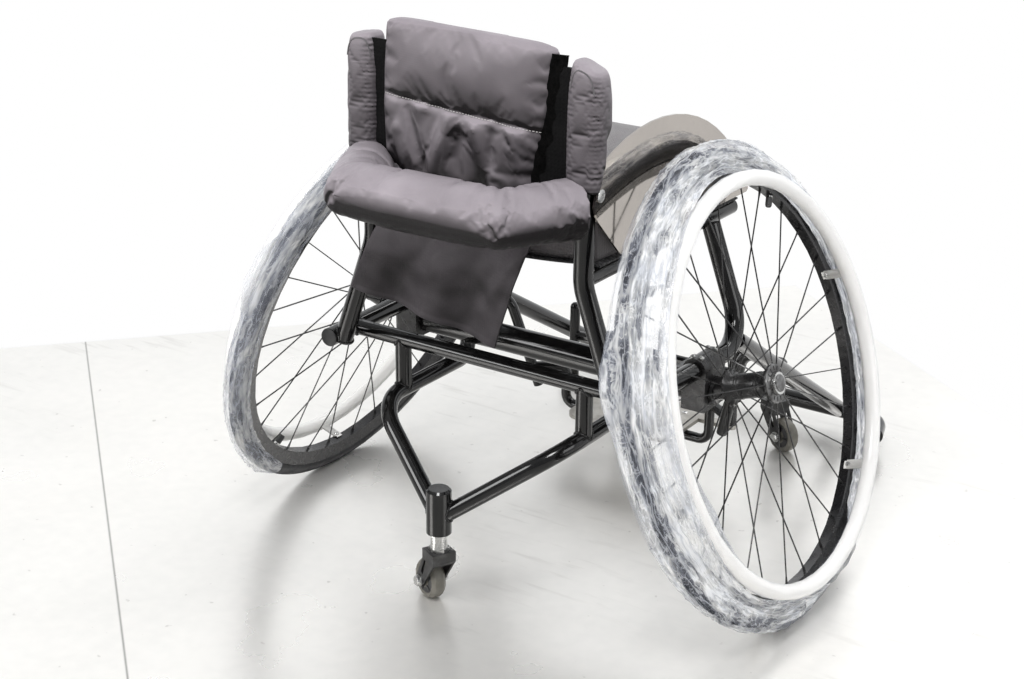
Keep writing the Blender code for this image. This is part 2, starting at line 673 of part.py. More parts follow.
def make_rear_frame():
    """The tubes under the seat that reach back to the rear caster's housing."""
    housing = lathe([(0, REAR_HOUSING_BOTTOM_Z), (REAR_HOUSING_RADIUS, REAR_HOUSING_BOTTOM_Z),
                     (REAR_HOUSING_RADIUS, REAR_HOUSING_TOP_Z - 0.003),
                     (REAR_HOUSING_RADIUS - 0.003, REAR_HOUSING_TOP_Z), (0, REAR_HOUSING_TOP_Z)], 20)
    place = Matrix.Translation((0, REAR_CASTER_Y, 0))
    barrel = add_piece("rear_caster_housing", housing, BLACK_PAINT, place)
    combine(barrel, stem_bore(REAR_HOUSING_BOTTOM_Z), "DIFFERENCE", place)
    around_housing = [Vector((0, REAR_CASTER_Y, z)) for z in (REAR_HOUSING_BOTTOM_Z - 0.02,
                                                             REAR_HOUSING_TOP_Z + 0.03)]
    halves = {}
    for label, side in SIDES.items():
        path = lower_tube_path(side)
        beam = add_piece(f"lower_tube_{label}", tube(path, LOWER_TUBE_RADIUS), BLACK_PAINT)
        combine(beam, around(camber_tube_path(), CAMBER_TUBE_RADIUS, 16), "DIFFERENCE")
        combine(beam, around(around_housing, REAR_HOUSING_RADIUS, 20), "DIFFERENCE")
        halves[side] = beam
        post = add_piece(f"lower_post_{label}", tube(lower_post_path(side), LOWER_TUBE_RADIUS),
                         BLACK_PAINT)
        combine(post, around(cross_tube_path(), CROSS_TUBE_RADIUS), "DIFFERENCE")
        combine(post, around(path, LOWER_TUBE_RADIUS), "DIFFERENCE")
    for side, beam in halves.items():
        keep = sorted((-side * GAP / 2, -side * 0.1))
        far = box((keep[0], REAR_CASTER_Y - 0.1, LOWER_TUBE_END_Z - 0.1),
                  (keep[1], REAR_CASTER_Y + 0.1, LOWER_TUBE_END_Z + 0.1))
        combine(beam, far, "DIFFERENCE")


def stem_bore(bottom):
    """The blind hole in a caster housing that takes the swivelling stem."""
    hole = STEM_RADIUS + GAP
    end = bottom + STEM_DEPTH_IN_HOUSING + 0.001
    return lathe([(0, bottom - 0.01), (hole, bottom - 0.01), (hole, end), (0, end)], 16)


def front_arm_path(side):
    end = front_tube_point(FRONT_CASTER_Y)
    return mirrored(side, [(FRONT_CASTER_X, FRONT_CASTER_Y, FRONT_ARM_Z),
                           (end.x, FRONT_CASTER_Y, end.z)])


def make_front_housings():
    """The caster housings, each on an arm that reaches in from its front tube."""
    for label, side in SIDES.items():
        profile = [(0, FRONT_HOUSING_BOTTOM_Z), (FRONT_HOUSING_RADIUS, FRONT_HOUSING_BOTTOM_Z),
                   (FRONT_HOUSING_RADIUS, FRONT_HOUSING_TOP_Z - 0.003),
                   (FRONT_HOUSING_RADIUS - 0.003, FRONT_HOUSING_TOP_Z), (0, FRONT_HOUSING_TOP_Z)]
        place = Matrix.Translation((side * FRONT_CASTER_X, FRONT_CASTER_Y, 0))
        barrel = add_piece(f"front_caster_housing_{label}", lathe(profile, 20), BLACK_PAINT, place)
        combine(barrel, tube(front_arm_path(side), FRONT_ARM_RADIUS, THIN_TUBE_FACETS), "UNION")
        combine(barrel, around(front_tube_path(side), FRONT_TUBE_RADIUS), "DIFFERENCE")
        combine(barrel, stem_bore(FRONT_HOUSING_BOTTOM_Z), "DIFFERENCE", place)


def make_footrest():
    """Hangers, cradle, plate, rods and the bar between the rods."""
    for label, side in SIDES.items():
        hanger = add_piece(f"footrest_hanger_{label}",
                           tube(hanger_path(side), HANGER_RADIUS, THIN_TUBE_FACETS), BLACK_PAINT)
        combine(hanger, around(front_tube_path(side), FRONT_TUBE_RADIUS), "DIFFERENCE")
        make_foot_rod(label, side)
    cradle = add_piece("footplate_cradle", tube(cradle_path(), CRADLE_RADIUS, THIN_TUBE_FACETS),
                       BLACK_PAINT)
    for side in SIDES.values():
        combine(cradle, around(hanger_path(side), HANGER_RADIUS, THIN_TUBE_FACETS), "DIFFERENCE")
    bar = add_piece("footrest_crossbar", tube(foot_bar_path(), FOOT_ROD_RADIUS - 0.001,
                                              THIN_TUBE_FACETS), BLACK_PAINT)
    for side in SIDES.values():
        combine(bar, around(foot_rod_path(side), FOOT_ROD_RADIUS, THIN_TUBE_FACETS), "DIFFERENCE")
    make_footplate()


def make_foot_rod(label, side):
    """Upright rod with a domed top that stands on the plate's ear."""
    low = FOOTPLATE_TOP_Z + GAP
    dome = [(FOOT_ROD_RADIUS * cos(a), FOOT_ROD_TOP_Z + FOOT_ROD_RADIUS * (sin(a) - 1))
            for a in (0, pi / 6, pi / 3, pi / 2)]
    profile = [(0, low), (FOOT_ROD_RADIUS, low), *dome[:-1], (0, FOOT_ROD_TOP_Z)]
    place = Matrix.Translation((side * FOOT_ROD_X, FOOT_ROD_Y, 0))
    turned = place @ Matrix.Rotation(pi / THIN_TUBE_FACETS, 4, "Z")
    add_piece(f"footrest_rod_{label}", lathe(profile, THIN_TUBE_FACETS), BLACK_PAINT, turned)


def make_footplate():
    """Flat plate with round corners and an ear under each rod."""
    half, corner = FOOTPLATE_HALF_WIDTH, FOOTPLATE_CORNER
    ear_low, ear_high = FOOT_ROD_Y - FOOT_ROD_RADIUS, FOOT_ROD_Y + FOOT_ROD_RADIUS
    ear_end = FOOT_ROD_X
    right = arc((half - corner, FOOTPLATE_REAR_Y + corner), corner, -pi / 2, 0, 4)
    right += [(half, ear_low)]
    right += arc((ear_end, FOOT_ROD_Y), FOOT_ROD_RADIUS, -pi / 2, pi / 2, 4)
    right += [(half, ear_high)]
    right += arc((half - corner, FOOTPLATE_FRONT_Y - corner), corner, 0, pi / 2, 4)
    left = [(-u, v) for u, v in right[::-1]]
    axes = ((1, 0, 0), (0, 1, 0), (0, 0, 1))
    place = Matrix.Translation((0, 0, FOOTPLATE_TOP_Z - FOOTPLATE_THICKNESS / 2))
    add_piece("footplate", prism(right + left, FOOTPLATE_THICKNESS, axes), PLATE_ALLOY, place)


def ring_section(centre_radius, section_radius, height, facets, phase):
    """The round section of a ring as a closed profile."""
    angles = [phase + 2 * pi * step / facets for step in range(facets)]
    return [(centre_radius + section_radius * cos(a), height + section_radius * sin(a)) for a in angles]


def tyre_seat(width):
    """Radius of the rim's tyre bed at a distance from its middle."""
    clear = TYRE_SECTION_RADIUS + 0.0005
    return TYRE_CENTRE_RADIUS - sqrt(clear ** 2 - width ** 2)


def make_wheels():
    """Tyre, rim, laced hub, handrim, axle and release button of both wheels."""
    bottom = -pi / 2 + pi / WHEEL_SEGMENTS
    for label, side in SIDES.items():
        place = wheel_matrix(side)
        section = ring_section(TYRE_CENTRE_RADIUS, TYRE_SECTION_RADIUS, 0, 8, -CAMBER)
        add_piece(f"tyre_{label}", lathe(section, WHEEL_SEGMENTS, True, bottom), RUBBER, place)
        add_piece(f"rim_{label}", lathe(rim_profile(), WHEEL_SEGMENTS, True, bottom), RIM_BLACK, place)
        make_hub(label, place)
        make_handrim(label, place, bottom)
        make_axle(label, place)


def rim_profile():
    """Deep V of the rim, from the spoke bed out to the hooks that hold the tyre."""
    hook = RIM_HOOK_HALF_WIDTH
    lip = hook - RIM_HOOK_WALL
    half = [(tyre_seat(0), 0.0), (tyre_seat(lip / 2), lip / 2), (tyre_seat(lip), lip),
            (tyre_seat(lip), hook), (RIM_BED_RADIUS, RIM_BED_HALF_WIDTH)]
    return half + [(radius, -width) for radius, width in half[:0:-1]]


def make_hub(label, place):
    """Hub with two notched flanges and its straight spokes ending in nipples."""
    bore = AXLE_RADIUS + GAP
    half = HUB_FLANGE_WIDTH / 2
    inner, outer = HUB_INNER_FLANGE, HUB_OUTER_FLANGE
    inner_end = RECEIVER_OUTER_END + 0.0010
    outer_end = outer + half + 0.0010
    profile = [(bore, inner_end), (HUB_END_RADIUS, inner_end), (HUB_END_RADIUS, inner - half),
               (HUB_FLANGE_RADIUS, inner - half), (HUB_FLANGE_RADIUS, inner + half),
               (HUB_BARREL_RADIUS, inner + half + 0.003), (HUB_BARREL_RADIUS, outer - 0.014),
               (HUB_BARREL_RADIUS + 0.003, outer - 0.005), (HUB_FLANGE_RADIUS, outer - half),
               (HUB_FLANGE_RADIUS, outer + half), (AXLE_HEAD_RADIUS, outer_end), (bore, outer_end)]
    teeth = 2 * SPOKES_PER_FLANGE
    step = 2 * pi / teeth
    first = FIRST_OUTER_SPOKE[label] + step / 2
    shape = lathe(profile, teeth, True, first)
    for vert in shape.verts:
        turn = round((atan2(vert.co.y, vert.co.x) - first) / step)
        at_rim = abs(hypot(vert.co.x, vert.co.y) - HUB_FLANGE_RADIUS) < 1e-5
        if at_rim and vert.co.z < 0 and turn % 2:
            vert.co.xy *= 1 - HUB_FLANGE_NOTCH / HUB_FLANGE_RADIUS
    hub = add_piece(f"hub_and_spokes_{label}", shape, BLACK_METAL, place)
    combine(hub, spoke_set(FIRST_OUTER_SPOKE[label]), "UNION", place)


def spoke_set(first):
    """All the spokes of a wheel: even ones from the outer flange, odd ones from the inner."""
    shape = bmesh.new()
    count = 2 * SPOKES_PER_FLANGE
    for index in range(count):
        sign = 1 if index % 2 == 0 else -1
        flange = HUB_OUTER_FLANGE if sign > 0 else HUB_INNER_FLANGE
        turn = first + 2 * pi * index / count
        outwards = Vector((cos(turn), sin(turn), 0))
        end_radius = RIM_BED_RADIUS * cos(pi / WHEEL_SEGMENTS) - GAP
        start = outwards * (HUB_FLANGE_RADIUS - 0.005) + Vector((0, 0, flange))
        end = outwards * end_radius + Vector((0, 0, sign * SPOKE_RIM_OFFSET))
        share = NIPPLE_LENGTH / (end - start).length
        neck = end.lerp(start, share)
        spoke = skin(square_rings([start, neck, end], [SPOKE_RADIUS, SPOKE_RADIUS, NIPPLE_RADIUS]))
        mesh = bpy.data.meshes.new("spoke")
        spoke.to_mesh(mesh)
        spoke.free()
        shape.from_mesh(mesh)
        bpy.data.meshes.remove(mesh)
    return shape


def square_rings(path, sizes):
    """Square rings along a straight path, one size for each point."""
    rings = []
    for point, size in zip(path, sizes):
        corners = tube_rings([path[0], path[-1]], size, 4)[0]
        rings.append([corner - path[0] + point for corner in corners])
    return rings


def make_handrim(label, place, bottom):
    """Push ring with the tabs that bolt it to the rim's spoke bed."""
    section = ring_section(HANDRIM_RADIUS, HANDRIM_TUBE_RADIUS, HANDRIM_OFFSET, 8, pi / 8)
    handrim = add_piece(f"handrim_{label}", lathe(section, WHEEL_SEGMENTS, True, bottom),
                        HANDRIM_WHITE, place)
    outer = RIM_BED_RADIUS * cos(pi / WHEEL_SEGMENTS) - GAP
    tabs = bmesh.new()
    for index in range(HANDRIM_TABS):
        turn = TAB_FIRST_ANGLE[label] + 2 * pi * index / HANDRIM_TABS
        tab = box((outer - TAB_THICKNESS, -TAB_WIDTH / 2, TAB_REACH_IN),
                  (outer, TAB_WIDTH / 2, HANDRIM_OFFSET - HANDRIM_TUBE_RADIUS / 2))
        bmesh.ops.rotate(tab, verts=tab.verts, cent=(0, 0, 0), matrix=Matrix.Rotation(turn, 3, "Z"))
        mesh = bpy.data.meshes.new("tab")
        tab.to_mesh(mesh)
        tab.free()
        tabs.from_mesh(mesh)
        bpy.data.meshes.remove(mesh)
    combine(handrim, tabs, "UNION", place)


def make_axle(label, place):
    """Quick-release axle with a dished head, and the button in it."""
    seat = HUB_OUTER_FLANGE + HUB_FLANGE_WIDTH / 2 + 0.0010 + GAP
    face = seat + AXLE_HEAD_LENGTH
    recess = face - BUTTON_TRAVEL - 0.0010
    hole = BUTTON_STEM_RADIUS + GAP
    stem_end = recess + BUTTON_TRAVEL + GAP - BUTTON_STEM_LENGTH
    bore_end = stem_end - BUTTON_TRAVEL - GAP
    profile = [(0, AXLE_INNER_END), (AXLE_RADIUS, AXLE_INNER_END), (AXLE_RADIUS, seat),
               (AXLE_HEAD_RADIUS, seat), (AXLE_HEAD_RADIUS, face), (BUTTON_RADIUS + GAP, face),
               (BUTTON_RADIUS + GAP, recess), (hole, recess), (hole, bore_end), (0, bore_end)]
    add_piece(f"axle_{label}", lathe(profile, 16), SILVER, place)
    low = recess + BUTTON_TRAVEL + GAP
    high = low + BUTTON_LENGTH - BUTTON_TRAVEL
    button = [(0, stem_end), (BUTTON_STEM_RADIUS, stem_end), (BUTTON_STEM_RADIUS, low),
              (BUTTON_RADIUS, low), (BUTTON_RADIUS, high - 0.001), (BUTTON_RADIUS - 0.002, high),
              (0, high)]
    add_piece(f"release_button_{label}", lathe(button, 16), SILVER, place)


def caster_place(spec):
    """Frame of a caster: on its swivel axis at wheel height, X towards the wheel."""
    x, y, _, _, heading = spec
    height = FLOOR_Z + CASTER_WHEEL_RADIUS
    return Matrix.Translation((x, y, height)) @ Matrix.Rotation(heading, 4, "Z")


def make_casters():
    """Three swivelling casters: fork with stem, wheel and axle bolt each."""
    for label, spec in CASTERS.items():
        place = caster_place(spec)
        housing_bottom = spec[2] - place.translation.z
        make_fork(label, place, spec[3], housing_bottom)
        hub = place @ Matrix.Translation((spec[3], 0, 0)) @ Matrix.Rotation(-pi / 2, 4, "X")
        make_caster_wheel(label, hub)
        make_caster_bolt(label, hub)


def make_fork(label, place, trail, housing_bottom):
    """Slotted fork hollowed out for the wheel, with its stem."""
    pocket = CASTER_WHEEL_HALF_WIDTH + FORK_SIDE_GAP
    half = pocket + FORK_WALL
    crown = FORK_CROWN_ABOVE_WHEEL
    lean = atan2(trail, crown - 0.012)
    reach = FORK_CROWN_RADIUS
    outline = [(-reach, crown), (-reach, crown - 0.014)]
    outline += arc((trail, 0), FORK_BOSS_RADIUS, pi + lean * 0.6, 2 * pi + lean * 0.4, 8)
    outline += [(reach, crown - 0.014), (reach, crown)]
    blank = prism(outline, 2 * half, ((1, 0, 0), (0, 0, 1), (0, 1, 0)))
    fork = add_piece(f"{label}_caster_fork", blank, FORK_BLACK, place)
    ceiling = CASTER_WHEEL_RADIUS + 0.0035
    hollow = box((-0.05, -pocket, -0.05), (0.09, pocket, ceiling + 0.003))
    combine(fork, hollow, "DIFFERENCE", place)
    slot_end = 0.016
    slot_start = crown - 0.018
    slot = arc((trail * (1 - slot_end / crown), slot_end), FORK_SLOT_RADIUS, pi, 2 * pi, 5)
    slot += arc((trail * (1 - slot_start / crown), slot_start), FORK_SLOT_RADIUS, 0, pi, 5)
    combine(fork, prism(slot, 4 * half, ((1, 0, 0), (0, 0, 1), (0, 1, 0))), "DIFFERENCE", place)
    hole = CASTER_AXLE_RADIUS + GAP
    across = Matrix.Translation((trail, 0, 0)) @ Matrix.Rotation(pi / 2, 4, "X")
    bore = lathe([(0, -0.05), (hole, -0.05), (hole, 0.05), (0, 0.05)], 12)
    combine(fork, bore, "DIFFERENCE", place @ across)
    collar_top = housing_bottom - 0.0010
    stem_top = housing_bottom + STEM_DEPTH_IN_HOUSING
    stem = lathe([(0, crown - 0.006), (STEM_COLLAR_RADIUS, crown - 0.006),
                  (STEM_COLLAR_RADIUS, collar_top), (STEM_RADIUS, collar_top),
                  (STEM_RADIUS, stem_top), (0, stem_top)], 16)
    combine(fork, stem, "UNION", place)


def make_caster_wheel(label, hub):
    """Small wheel with a rounded tread and dished sides."""
    radius, half = CASTER_WHEEL_RADIUS, CASTER_WHEEL_HALF_WIDTH
    hole = CASTER_AXLE_RADIUS + GAP
    side = [(hole, half), (0.0080, half), (0.0165, half - 0.004), (radius - 0.004, half - 0.001),
            (radius, half - 0.0055)]
    profile = side + [(r, -z) for r, z in side[::-1]]
    bottom = pi / 2 + pi / CASTER_SEGMENTS
    flat = cos(pi / CASTER_SEGMENTS)
    scaled = [(r / flat if r > hole else r, z) for r, z in profile]
    add_piece(f"{label}_caster_wheel", lathe(scaled, CASTER_SEGMENTS, True, bottom), TREAD, hub)


def make_caster_bolt(label, hub):
    """Through bolt with a head on one side and a nut on the other."""
    outside = CASTER_WHEEL_HALF_WIDTH + FORK_SIDE_GAP + FORK_WALL + GAP
    head = outside + CASTER_BOLT_HEAD_LENGTH
    profile = [(0, -head), (CASTER_BOLT_HEAD_RADIUS, -head), (CASTER_BOLT_HEAD_RADIUS, -outside),
               (CASTER_AXLE_RADIUS, -outside), (CASTER_AXLE_RADIUS, outside),
               (CASTER_BOLT_HEAD_RADIUS, outside), (CASTER_BOLT_HEAD_RADIUS, head), (0, head)]
    add_piece(f"{label}_caster_bolt", lathe(profile, 12), SILVER, hub)


def make_seat():
    """Sling over the seat rails and the cushion on it."""
    rail_top = SEAT_RAIL_Z + SEAT_RAIL_RADIUS + GAP
    reach = SEAT_RAIL_X + SEAT_RAIL_RADIUS - 0.0010
    middle_y = (SLING_REAR_Y + SEAT_RAIL_FRONT_Y) / 2
    half_length = (SEAT_RAIL_FRONT_Y - SLING_REAR_Y) / 2
    free_x = SEAT_RAIL_X - SEAT_RAIL_RADIUS

    def sling_surface(lift):
        def surface(s, t):
            sag = SLING_SAG * max(0.0, 1 - (s * reach / free_x) ** 2)
            return (s * reach, middle_y + t * half_length, rail_top + lift - sag)
        return surface

    add_piece("seat_sling", pad_between(sling_surface(SLING_THICKNESS), sling_surface(0), 12, 2),
              SLING_CLOTH)
    base = rail_top + SLING_THICKNESS + GAP
    centre_y = (CUSHION_REAR_Y + CUSHION_FRONT_Y) / 2
    half_depth = (CUSHION_FRONT_Y - CUSHION_REAR_Y) / 2

    def outline(s, t):
        u, v = sin(s * pi / 2), sin(t * pi / 2)
        x = CUSHION_HALF_WIDTH * u * sqrt(1 - 0.05 * v ** 16)
        y = centre_y + half_depth * v * sqrt(1 - 0.05 * u ** 16)
        return u, v, x, y

    def top(s, t):
        u, v, x, y = outline(s, t)
        edge = (1 - u ** 16) * (1 - v ** 16)
        channel = 0.004 * exp(-((abs(u) - 0.5) / 0.06) ** 2)
        crown = 0.72 + 0.20 * max(edge, 0) ** 0.25 + 0.08 * cos(u * pi / 2) * cos(v * pi / 2)
        return (x, y, base + CUSHION_THICKNESS * crown - channel * edge)

    def under(s, t):
        u, v, x, y = outline(s, t)
        draw_in = 1 - 0.02 * max(abs(u), abs(v)) ** 16
        lift = 0.006 * max(0.0, 3 * max(abs(u), abs(v)) ** 16 - 2)
        sag = SLING_SAG * max(0.0, 1 - (x / free_x) ** 2)
        return (x * draw_in, centre_y + (y - centre_y) * draw_in, base + lift - sag)

    add_piece("seat_cushion", pad_between(top, under, 12, 10), SEAT_CLOTH)


def make_guards():
    """Side guards: flat sheets whose top edge follows the wheel."""
    low_front = (GUARD_FRONT_Y, GUARD_LOW_Z)
    end_turn = atan2(GUARD_LOW_Z + GUARD_FRONT_RISE - GUARD_ARC_Z, GUARD_FRONT_Y - GUARD_ARC_Y)
    start_turn = atan2(GUARD_SHOULDER[1] - GUARD_ARC_Z, GUARD_SHOULDER[0] - GUARD_ARC_Y)
    outline = [(GUARD_FOOT_Y, GUARD_LOW_Z), *GUARD_REAR_CORNERS]
    outline += arc((GUARD_ARC_Y, GUARD_ARC_Z), GUARD_ARC_RADIUS, start_turn, end_turn, 14)
    outline += [(GUARD_FRONT_Y + GUARD_FRONT_CORNER, GUARD_LOW_Z + GUARD_FRONT_CORNER), low_front]
    for label, side in SIDES.items():
        axes = ((0, 1, 0), (0, 0, 1), (1, 0, 0))
        sheet = prism(outline, GUARD_THICKNESS, axes)
        place = Matrix.Translation((side * GUARD_X, 0, 0))
        guard = add_piece(f"side_guard_{label}", sheet, GUARD_BLACK, place)
        head = lathe([(0, 0), (0.0075, 0), (0.0075, 0.002), (0.005, 0.0035), (0, 0.0035)], 14)
        turned = Matrix.Translation((side * GUARD_X, GUARD_BOLT_Y, GUARD_BOLT_Z))
        turned = turned @ Matrix.Rotation(side * pi / 2, 4, "Y")
        combine(guard, head, "UNION", turned)


def guard_top(y):
    """Height of the guard's top edge at a given length."""
    return GUARD_ARC_Z + sqrt(GUARD_ARC_RADIUS ** 2 - (y - GUARD_ARC_Y) ** 2)


def bolster_shape(side, bottom, extra=0.0):
    """A bolster's outer skin, thicker all round by an extra amount; its top slopes down outwards."""
    lean = BOLSTER_TOP_LEAN["right" if side > 0 else "left"]
    guard_side = GUARD_X - GUARD_THICKNESS / 2 - GAP
    middle_y = (BOLSTER_REAR_Y + BOLSTER_FRONT_Y) / 2
    half_depth = (BOLSTER_FRONT_Y - BOLSTER_REAR_Y) / 2
    middle_z = (bottom + BOLSTER_TOP_Z) / 2
    half_height = (BOLSTER_TOP_Z - bottom) / 2
    free_z = guard_top(BOLSTER_FRONT_Y) + 0.003
    heights = sorted([middle_z - half_height * cos(pi * level / 10) for level in range(11)] + [free_z])
    rings = []
    for z in heights:
        height = (z - middle_z) / half_height
        roundness = max(1 - height ** 2, 0.0) ** (0.30 if height > 0 else 0.18)
        least = 0.45 if height > 0 else 0.92
        free = min(max((z - free_z) / BOLSTER_FLARE, 0), 1)
        outer_x = guard_side + (BOLSTER_OUTER_X - guard_side) * free * free * (3 - 2 * free)
        centre_x = (BOLSTER_INNER_X + outer_x) / 2
        half_width = (outer_x - BOLSTER_INNER_X) / 2
        size = least + (1 - least) * roundness
        tilt = lean * max(height, 0) ** 2
        rings.append([(side * (centre_x + (half_width * size + extra) * power(cos(a))),
                       middle_y + (half_depth * size + extra) * power(sin(a)),
                       z - tilt * size * power(cos(a)))
                      for a in (2 * pi * (step + 0.5) / 16 for step in range(16))])
    return skin(rings)


def bolster_bottom():
    """The bolsters stop just above the push bar."""
    return PUSH_BAR_Z + PUSH_BAR_RADIUS + BOLSTER_ABOVE_BAR


def make_bolsters():
    """Padded sleeves over the back posts, flat where the guards lie against them."""
    bottom = bolster_bottom()
    for label, side in SIDES.items():
        bolster = add_piece(f"side_bolster_{label}", bolster_shape(side, bottom), NYLON)
        hole = [Vector((side * BACK_POST_X, BACK_POST_Y, z))
                for z in (bottom - 0.03, BACK_POST_TOP_Z + 0.001)]
        combine(bolster, around(hole, BACK_POST_RADIUS), "DIFFERENCE")


def power(value):
    """Squares a round section off into a cushion's section."""
    return copysign(abs(value) ** (2 / 3), value)


def panel_edge(side, z):
    """Side edge of the back panel: drawn in below the waist, and less so on the left."""
    reach = PANEL_LEFT_TAPER if side < 0 else PANEL_TOP_Z - PANEL_WAIST_Z
    share = min(max((z - PANEL_WAIST_Z) / reach, 0), 1) ** 0.8
    return side * (PANEL_LOW_HALF_WIDTH + (PANEL_TOP_HALF_WIDTH - PANEL_LOW_HALF_WIDTH) * share)


def make_back_panel():
    """Back upholstery with its rolled top, its seam and the gathers below it."""
    def height(s, t):
        top = PANEL_TOP_Z - PANEL_TOP_TILT * s - PANEL_CORNER_DROP * abs(s) ** 12
        return PANEL_BOTTOM_Z + (top - PANEL_BOTTOM_Z) * (t + 1) / 2

    def swell(x, z, s, t):
        seam = PANEL_SEAM_Z + PANEL_SEAM_TILT * x
        edge = sqrt(max(1 - abs(s) ** 6, 0.0))
        top = sqrt(max(0.0, 1 - max(0.0, (t - 0.88) / 0.125) ** 2))
        dent = 0.45 * exp(-((z - seam) / 0.005) ** 2)
        gather = 0.10 * sin(70 * x) * exp(-max(0.0, seam - z) / 0.05) * (z < seam)
        return PANEL_THICKNESS / 2 * max(0.12, (1 - dent + gather) * edge * (0.25 + 0.75 * top))

    def face(sign):
        def surface(s, t):
            z = height(s, t)
            left, right = panel_edge(-1, z), panel_edge(1, z)
            x = (left + right) / 2 + s * (right - left) / 2
            return (x, PANEL_Y + sign * swell(x, z, s, t), z)
        return surface

    panel = add_piece("backrest_panel", pad_between(face(-1), face(1), 12, 14), NYLON)
    for side in SIDES.values():
        inner = abs(panel_edge(side, PANEL_WAIST_Z + PANEL_LEFT_TAPER)) - STRAP_TUCK
        ends = sorted((side * inner, side * (BOLSTER_INNER_X + STRAP_REACH)))
        strap = box((ends[0], PANEL_Y - STRAP_REAR, STRAP_LOW_Z),
                    (ends[1], PANEL_Y + STRAP_FRONT, STRAP_HIGH_Z))
        combine(panel, strap, "UNION")
        combine(panel, bolster_shape(side, bolster_bottom(), GAP), "DIFFERENCE")


def make_flap():
    """Loose tail of the back upholstery that hangs behind the posts."""
    top = PANEL_BOTTOM_Z - GAP
    corners = {(-1, 1): (FLAP_TOP_LEFT_X, top), (1, 1): (FLAP_TOP_RIGHT_X, top),
               (-1, -1): FLAP_LOW_LEFT, (1, -1): FLAP_LOW_RIGHT}

    def place(s, t):
        u, v = (s + 1) / 2, (t + 1) / 2
        low = Vector(corners[-1, -1]).lerp(Vector(corners[1, -1]), u)
        high = Vector(corners[-1, 1]).lerp(Vector(corners[1, 1]), u)
        return low.lerp(high, v)

    def face(offset):
        def surface(s, t):
            x, z = place(s, t)
            hang = (1 - t) / 2
            fold = FLAP_FOLD * hang * sin(2.2 * pi * (s + 0.15)) + FLAP_LEAN * hang
            back = min(hang / 0.5, 1.0)
            y = PANEL_Y + (FLAP_Y - PANEL_Y) * back * (2 - back)
            return (x, y + offset - fold, z)
        return surface

    add_piece("backrest_flap", pad_between(face(-FLAP_THICKNESS / 2), face(FLAP_THICKNESS / 2), 10, 6),
              NYLON)


def make_push_bar():
    """Bent bar behind the back posts and the thick pad sleeved on it."""
    path = push_bar_path()
    bar = add_piece("push_bar", tube(path, PUSH_BAR_RADIUS), BLACK_PAINT)
    for side in SIDES.values():
        combine(bar, around(back_post_path(side), BACK_POST_RADIUS), "DIFFERENCE")
    covered = [Vector(point) for point in path]
    covered[0] = covered[0] + (covered[1] - covered[0]).normalized() * PAD_START
    covered[-1] = covered[-1] + (covered[-2] - covered[-1]).normalized() * PAD_START
    covered = spread(covered, 18)

    def outer(share):
        ends = 1 - 0.25 * exp(-share / 0.02) - 0.25 * exp(-(1 - share) / 0.02)
        return PAD_RADIUS * ends * (1 + 0.012 * sin(62 * share))

    pad = add_piece("push_bar_pad", tube(covered, outer), NYLON)
    combine(pad, around(path, PUSH_BAR_RADIUS), "DIFFERENCE")
    for side in SIDES.values():
        combine(pad, bolster_shape(side, bolster_bottom(), GAP), "DIFFERENCE")


def spread(path, count):
    """The same path with points at even distances."""
    lengths = [0.0]
    for first, second in zip(path, path[1:]):
        lengths.append(lengths[-1] + (second - first).length)
    points = []
    index = 0
    for step in range(count + 1):
        goal = lengths[-1] * step / count
        while index < len(path) - 2 and lengths[index + 1] < goal:
            index += 1
        share = (goal - lengths[index]) / (lengths[index + 1] - lengths[index])
        points.append(path[index].lerp(path[index + 1], share))
    return points


def stand_on_floor():
    """Parent every piece to one empty and set the chair down round the origin."""
    bpy.context.view_layer.update()
    pieces = [piece for piece in bpy.data.objects if piece.type == "MESH"]
    corners = [piece.matrix_world @ vert.co for piece in pieces for vert in piece.data.vertices]
    front = max(corner.y for corner in corners)
    rear = min(corner.y for corner in corners)
    lowest = min(corner.z for corner in corners)
    chair = bpy.data.objects.new("chair", None)
    bpy.context.scene.collection.objects.link(chair)
    for piece in pieces:
        piece.parent = chair
    chair.location = (0, -(front + rear) / 2, -lowest)
    print("axle midpoint stands at", tuple(chair.location))


def main():
    for thing in list(bpy.data.objects):
        bpy.data.objects.remove(thing)
    make_frame()
    make_camber_tube()
    make_rear_frame()
    make_front_housings()
    make_footrest()
    make_wheels()
    make_casters()
    make_seat()
    make_guards()
    make_bolsters()
    make_back_panel()
    make_flap()
    make_push_bar()
    stand_on_floor()


main()
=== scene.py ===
"""Looks of a basketball wheelchair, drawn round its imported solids, in metres with +Z up.

The solids of the tubes, wheels, casters and footrest are drawn again with finer faces. The
upholstery, the clear film on the new tyres, the stitching, the welds and the small
fastenings are made in this file. Lengths are measured from the point midway between the
two drive wheels, as X to the sitter's right, Y forward and Z up.
"""
from __future__ import annotations

import json
import logging
from dataclasses import dataclass
from enum import Enum
from functools import partial, partialmethod
from math import atan2, ceil, copysign, cos, exp, pi, radians, sin, sqrt, tan
from typing import Callable, Iterable, Optional, Sequence

import bmesh
import bpy
from mathutils import Matrix, Vector, noise
from mathutils.bvhtree import BVHTree

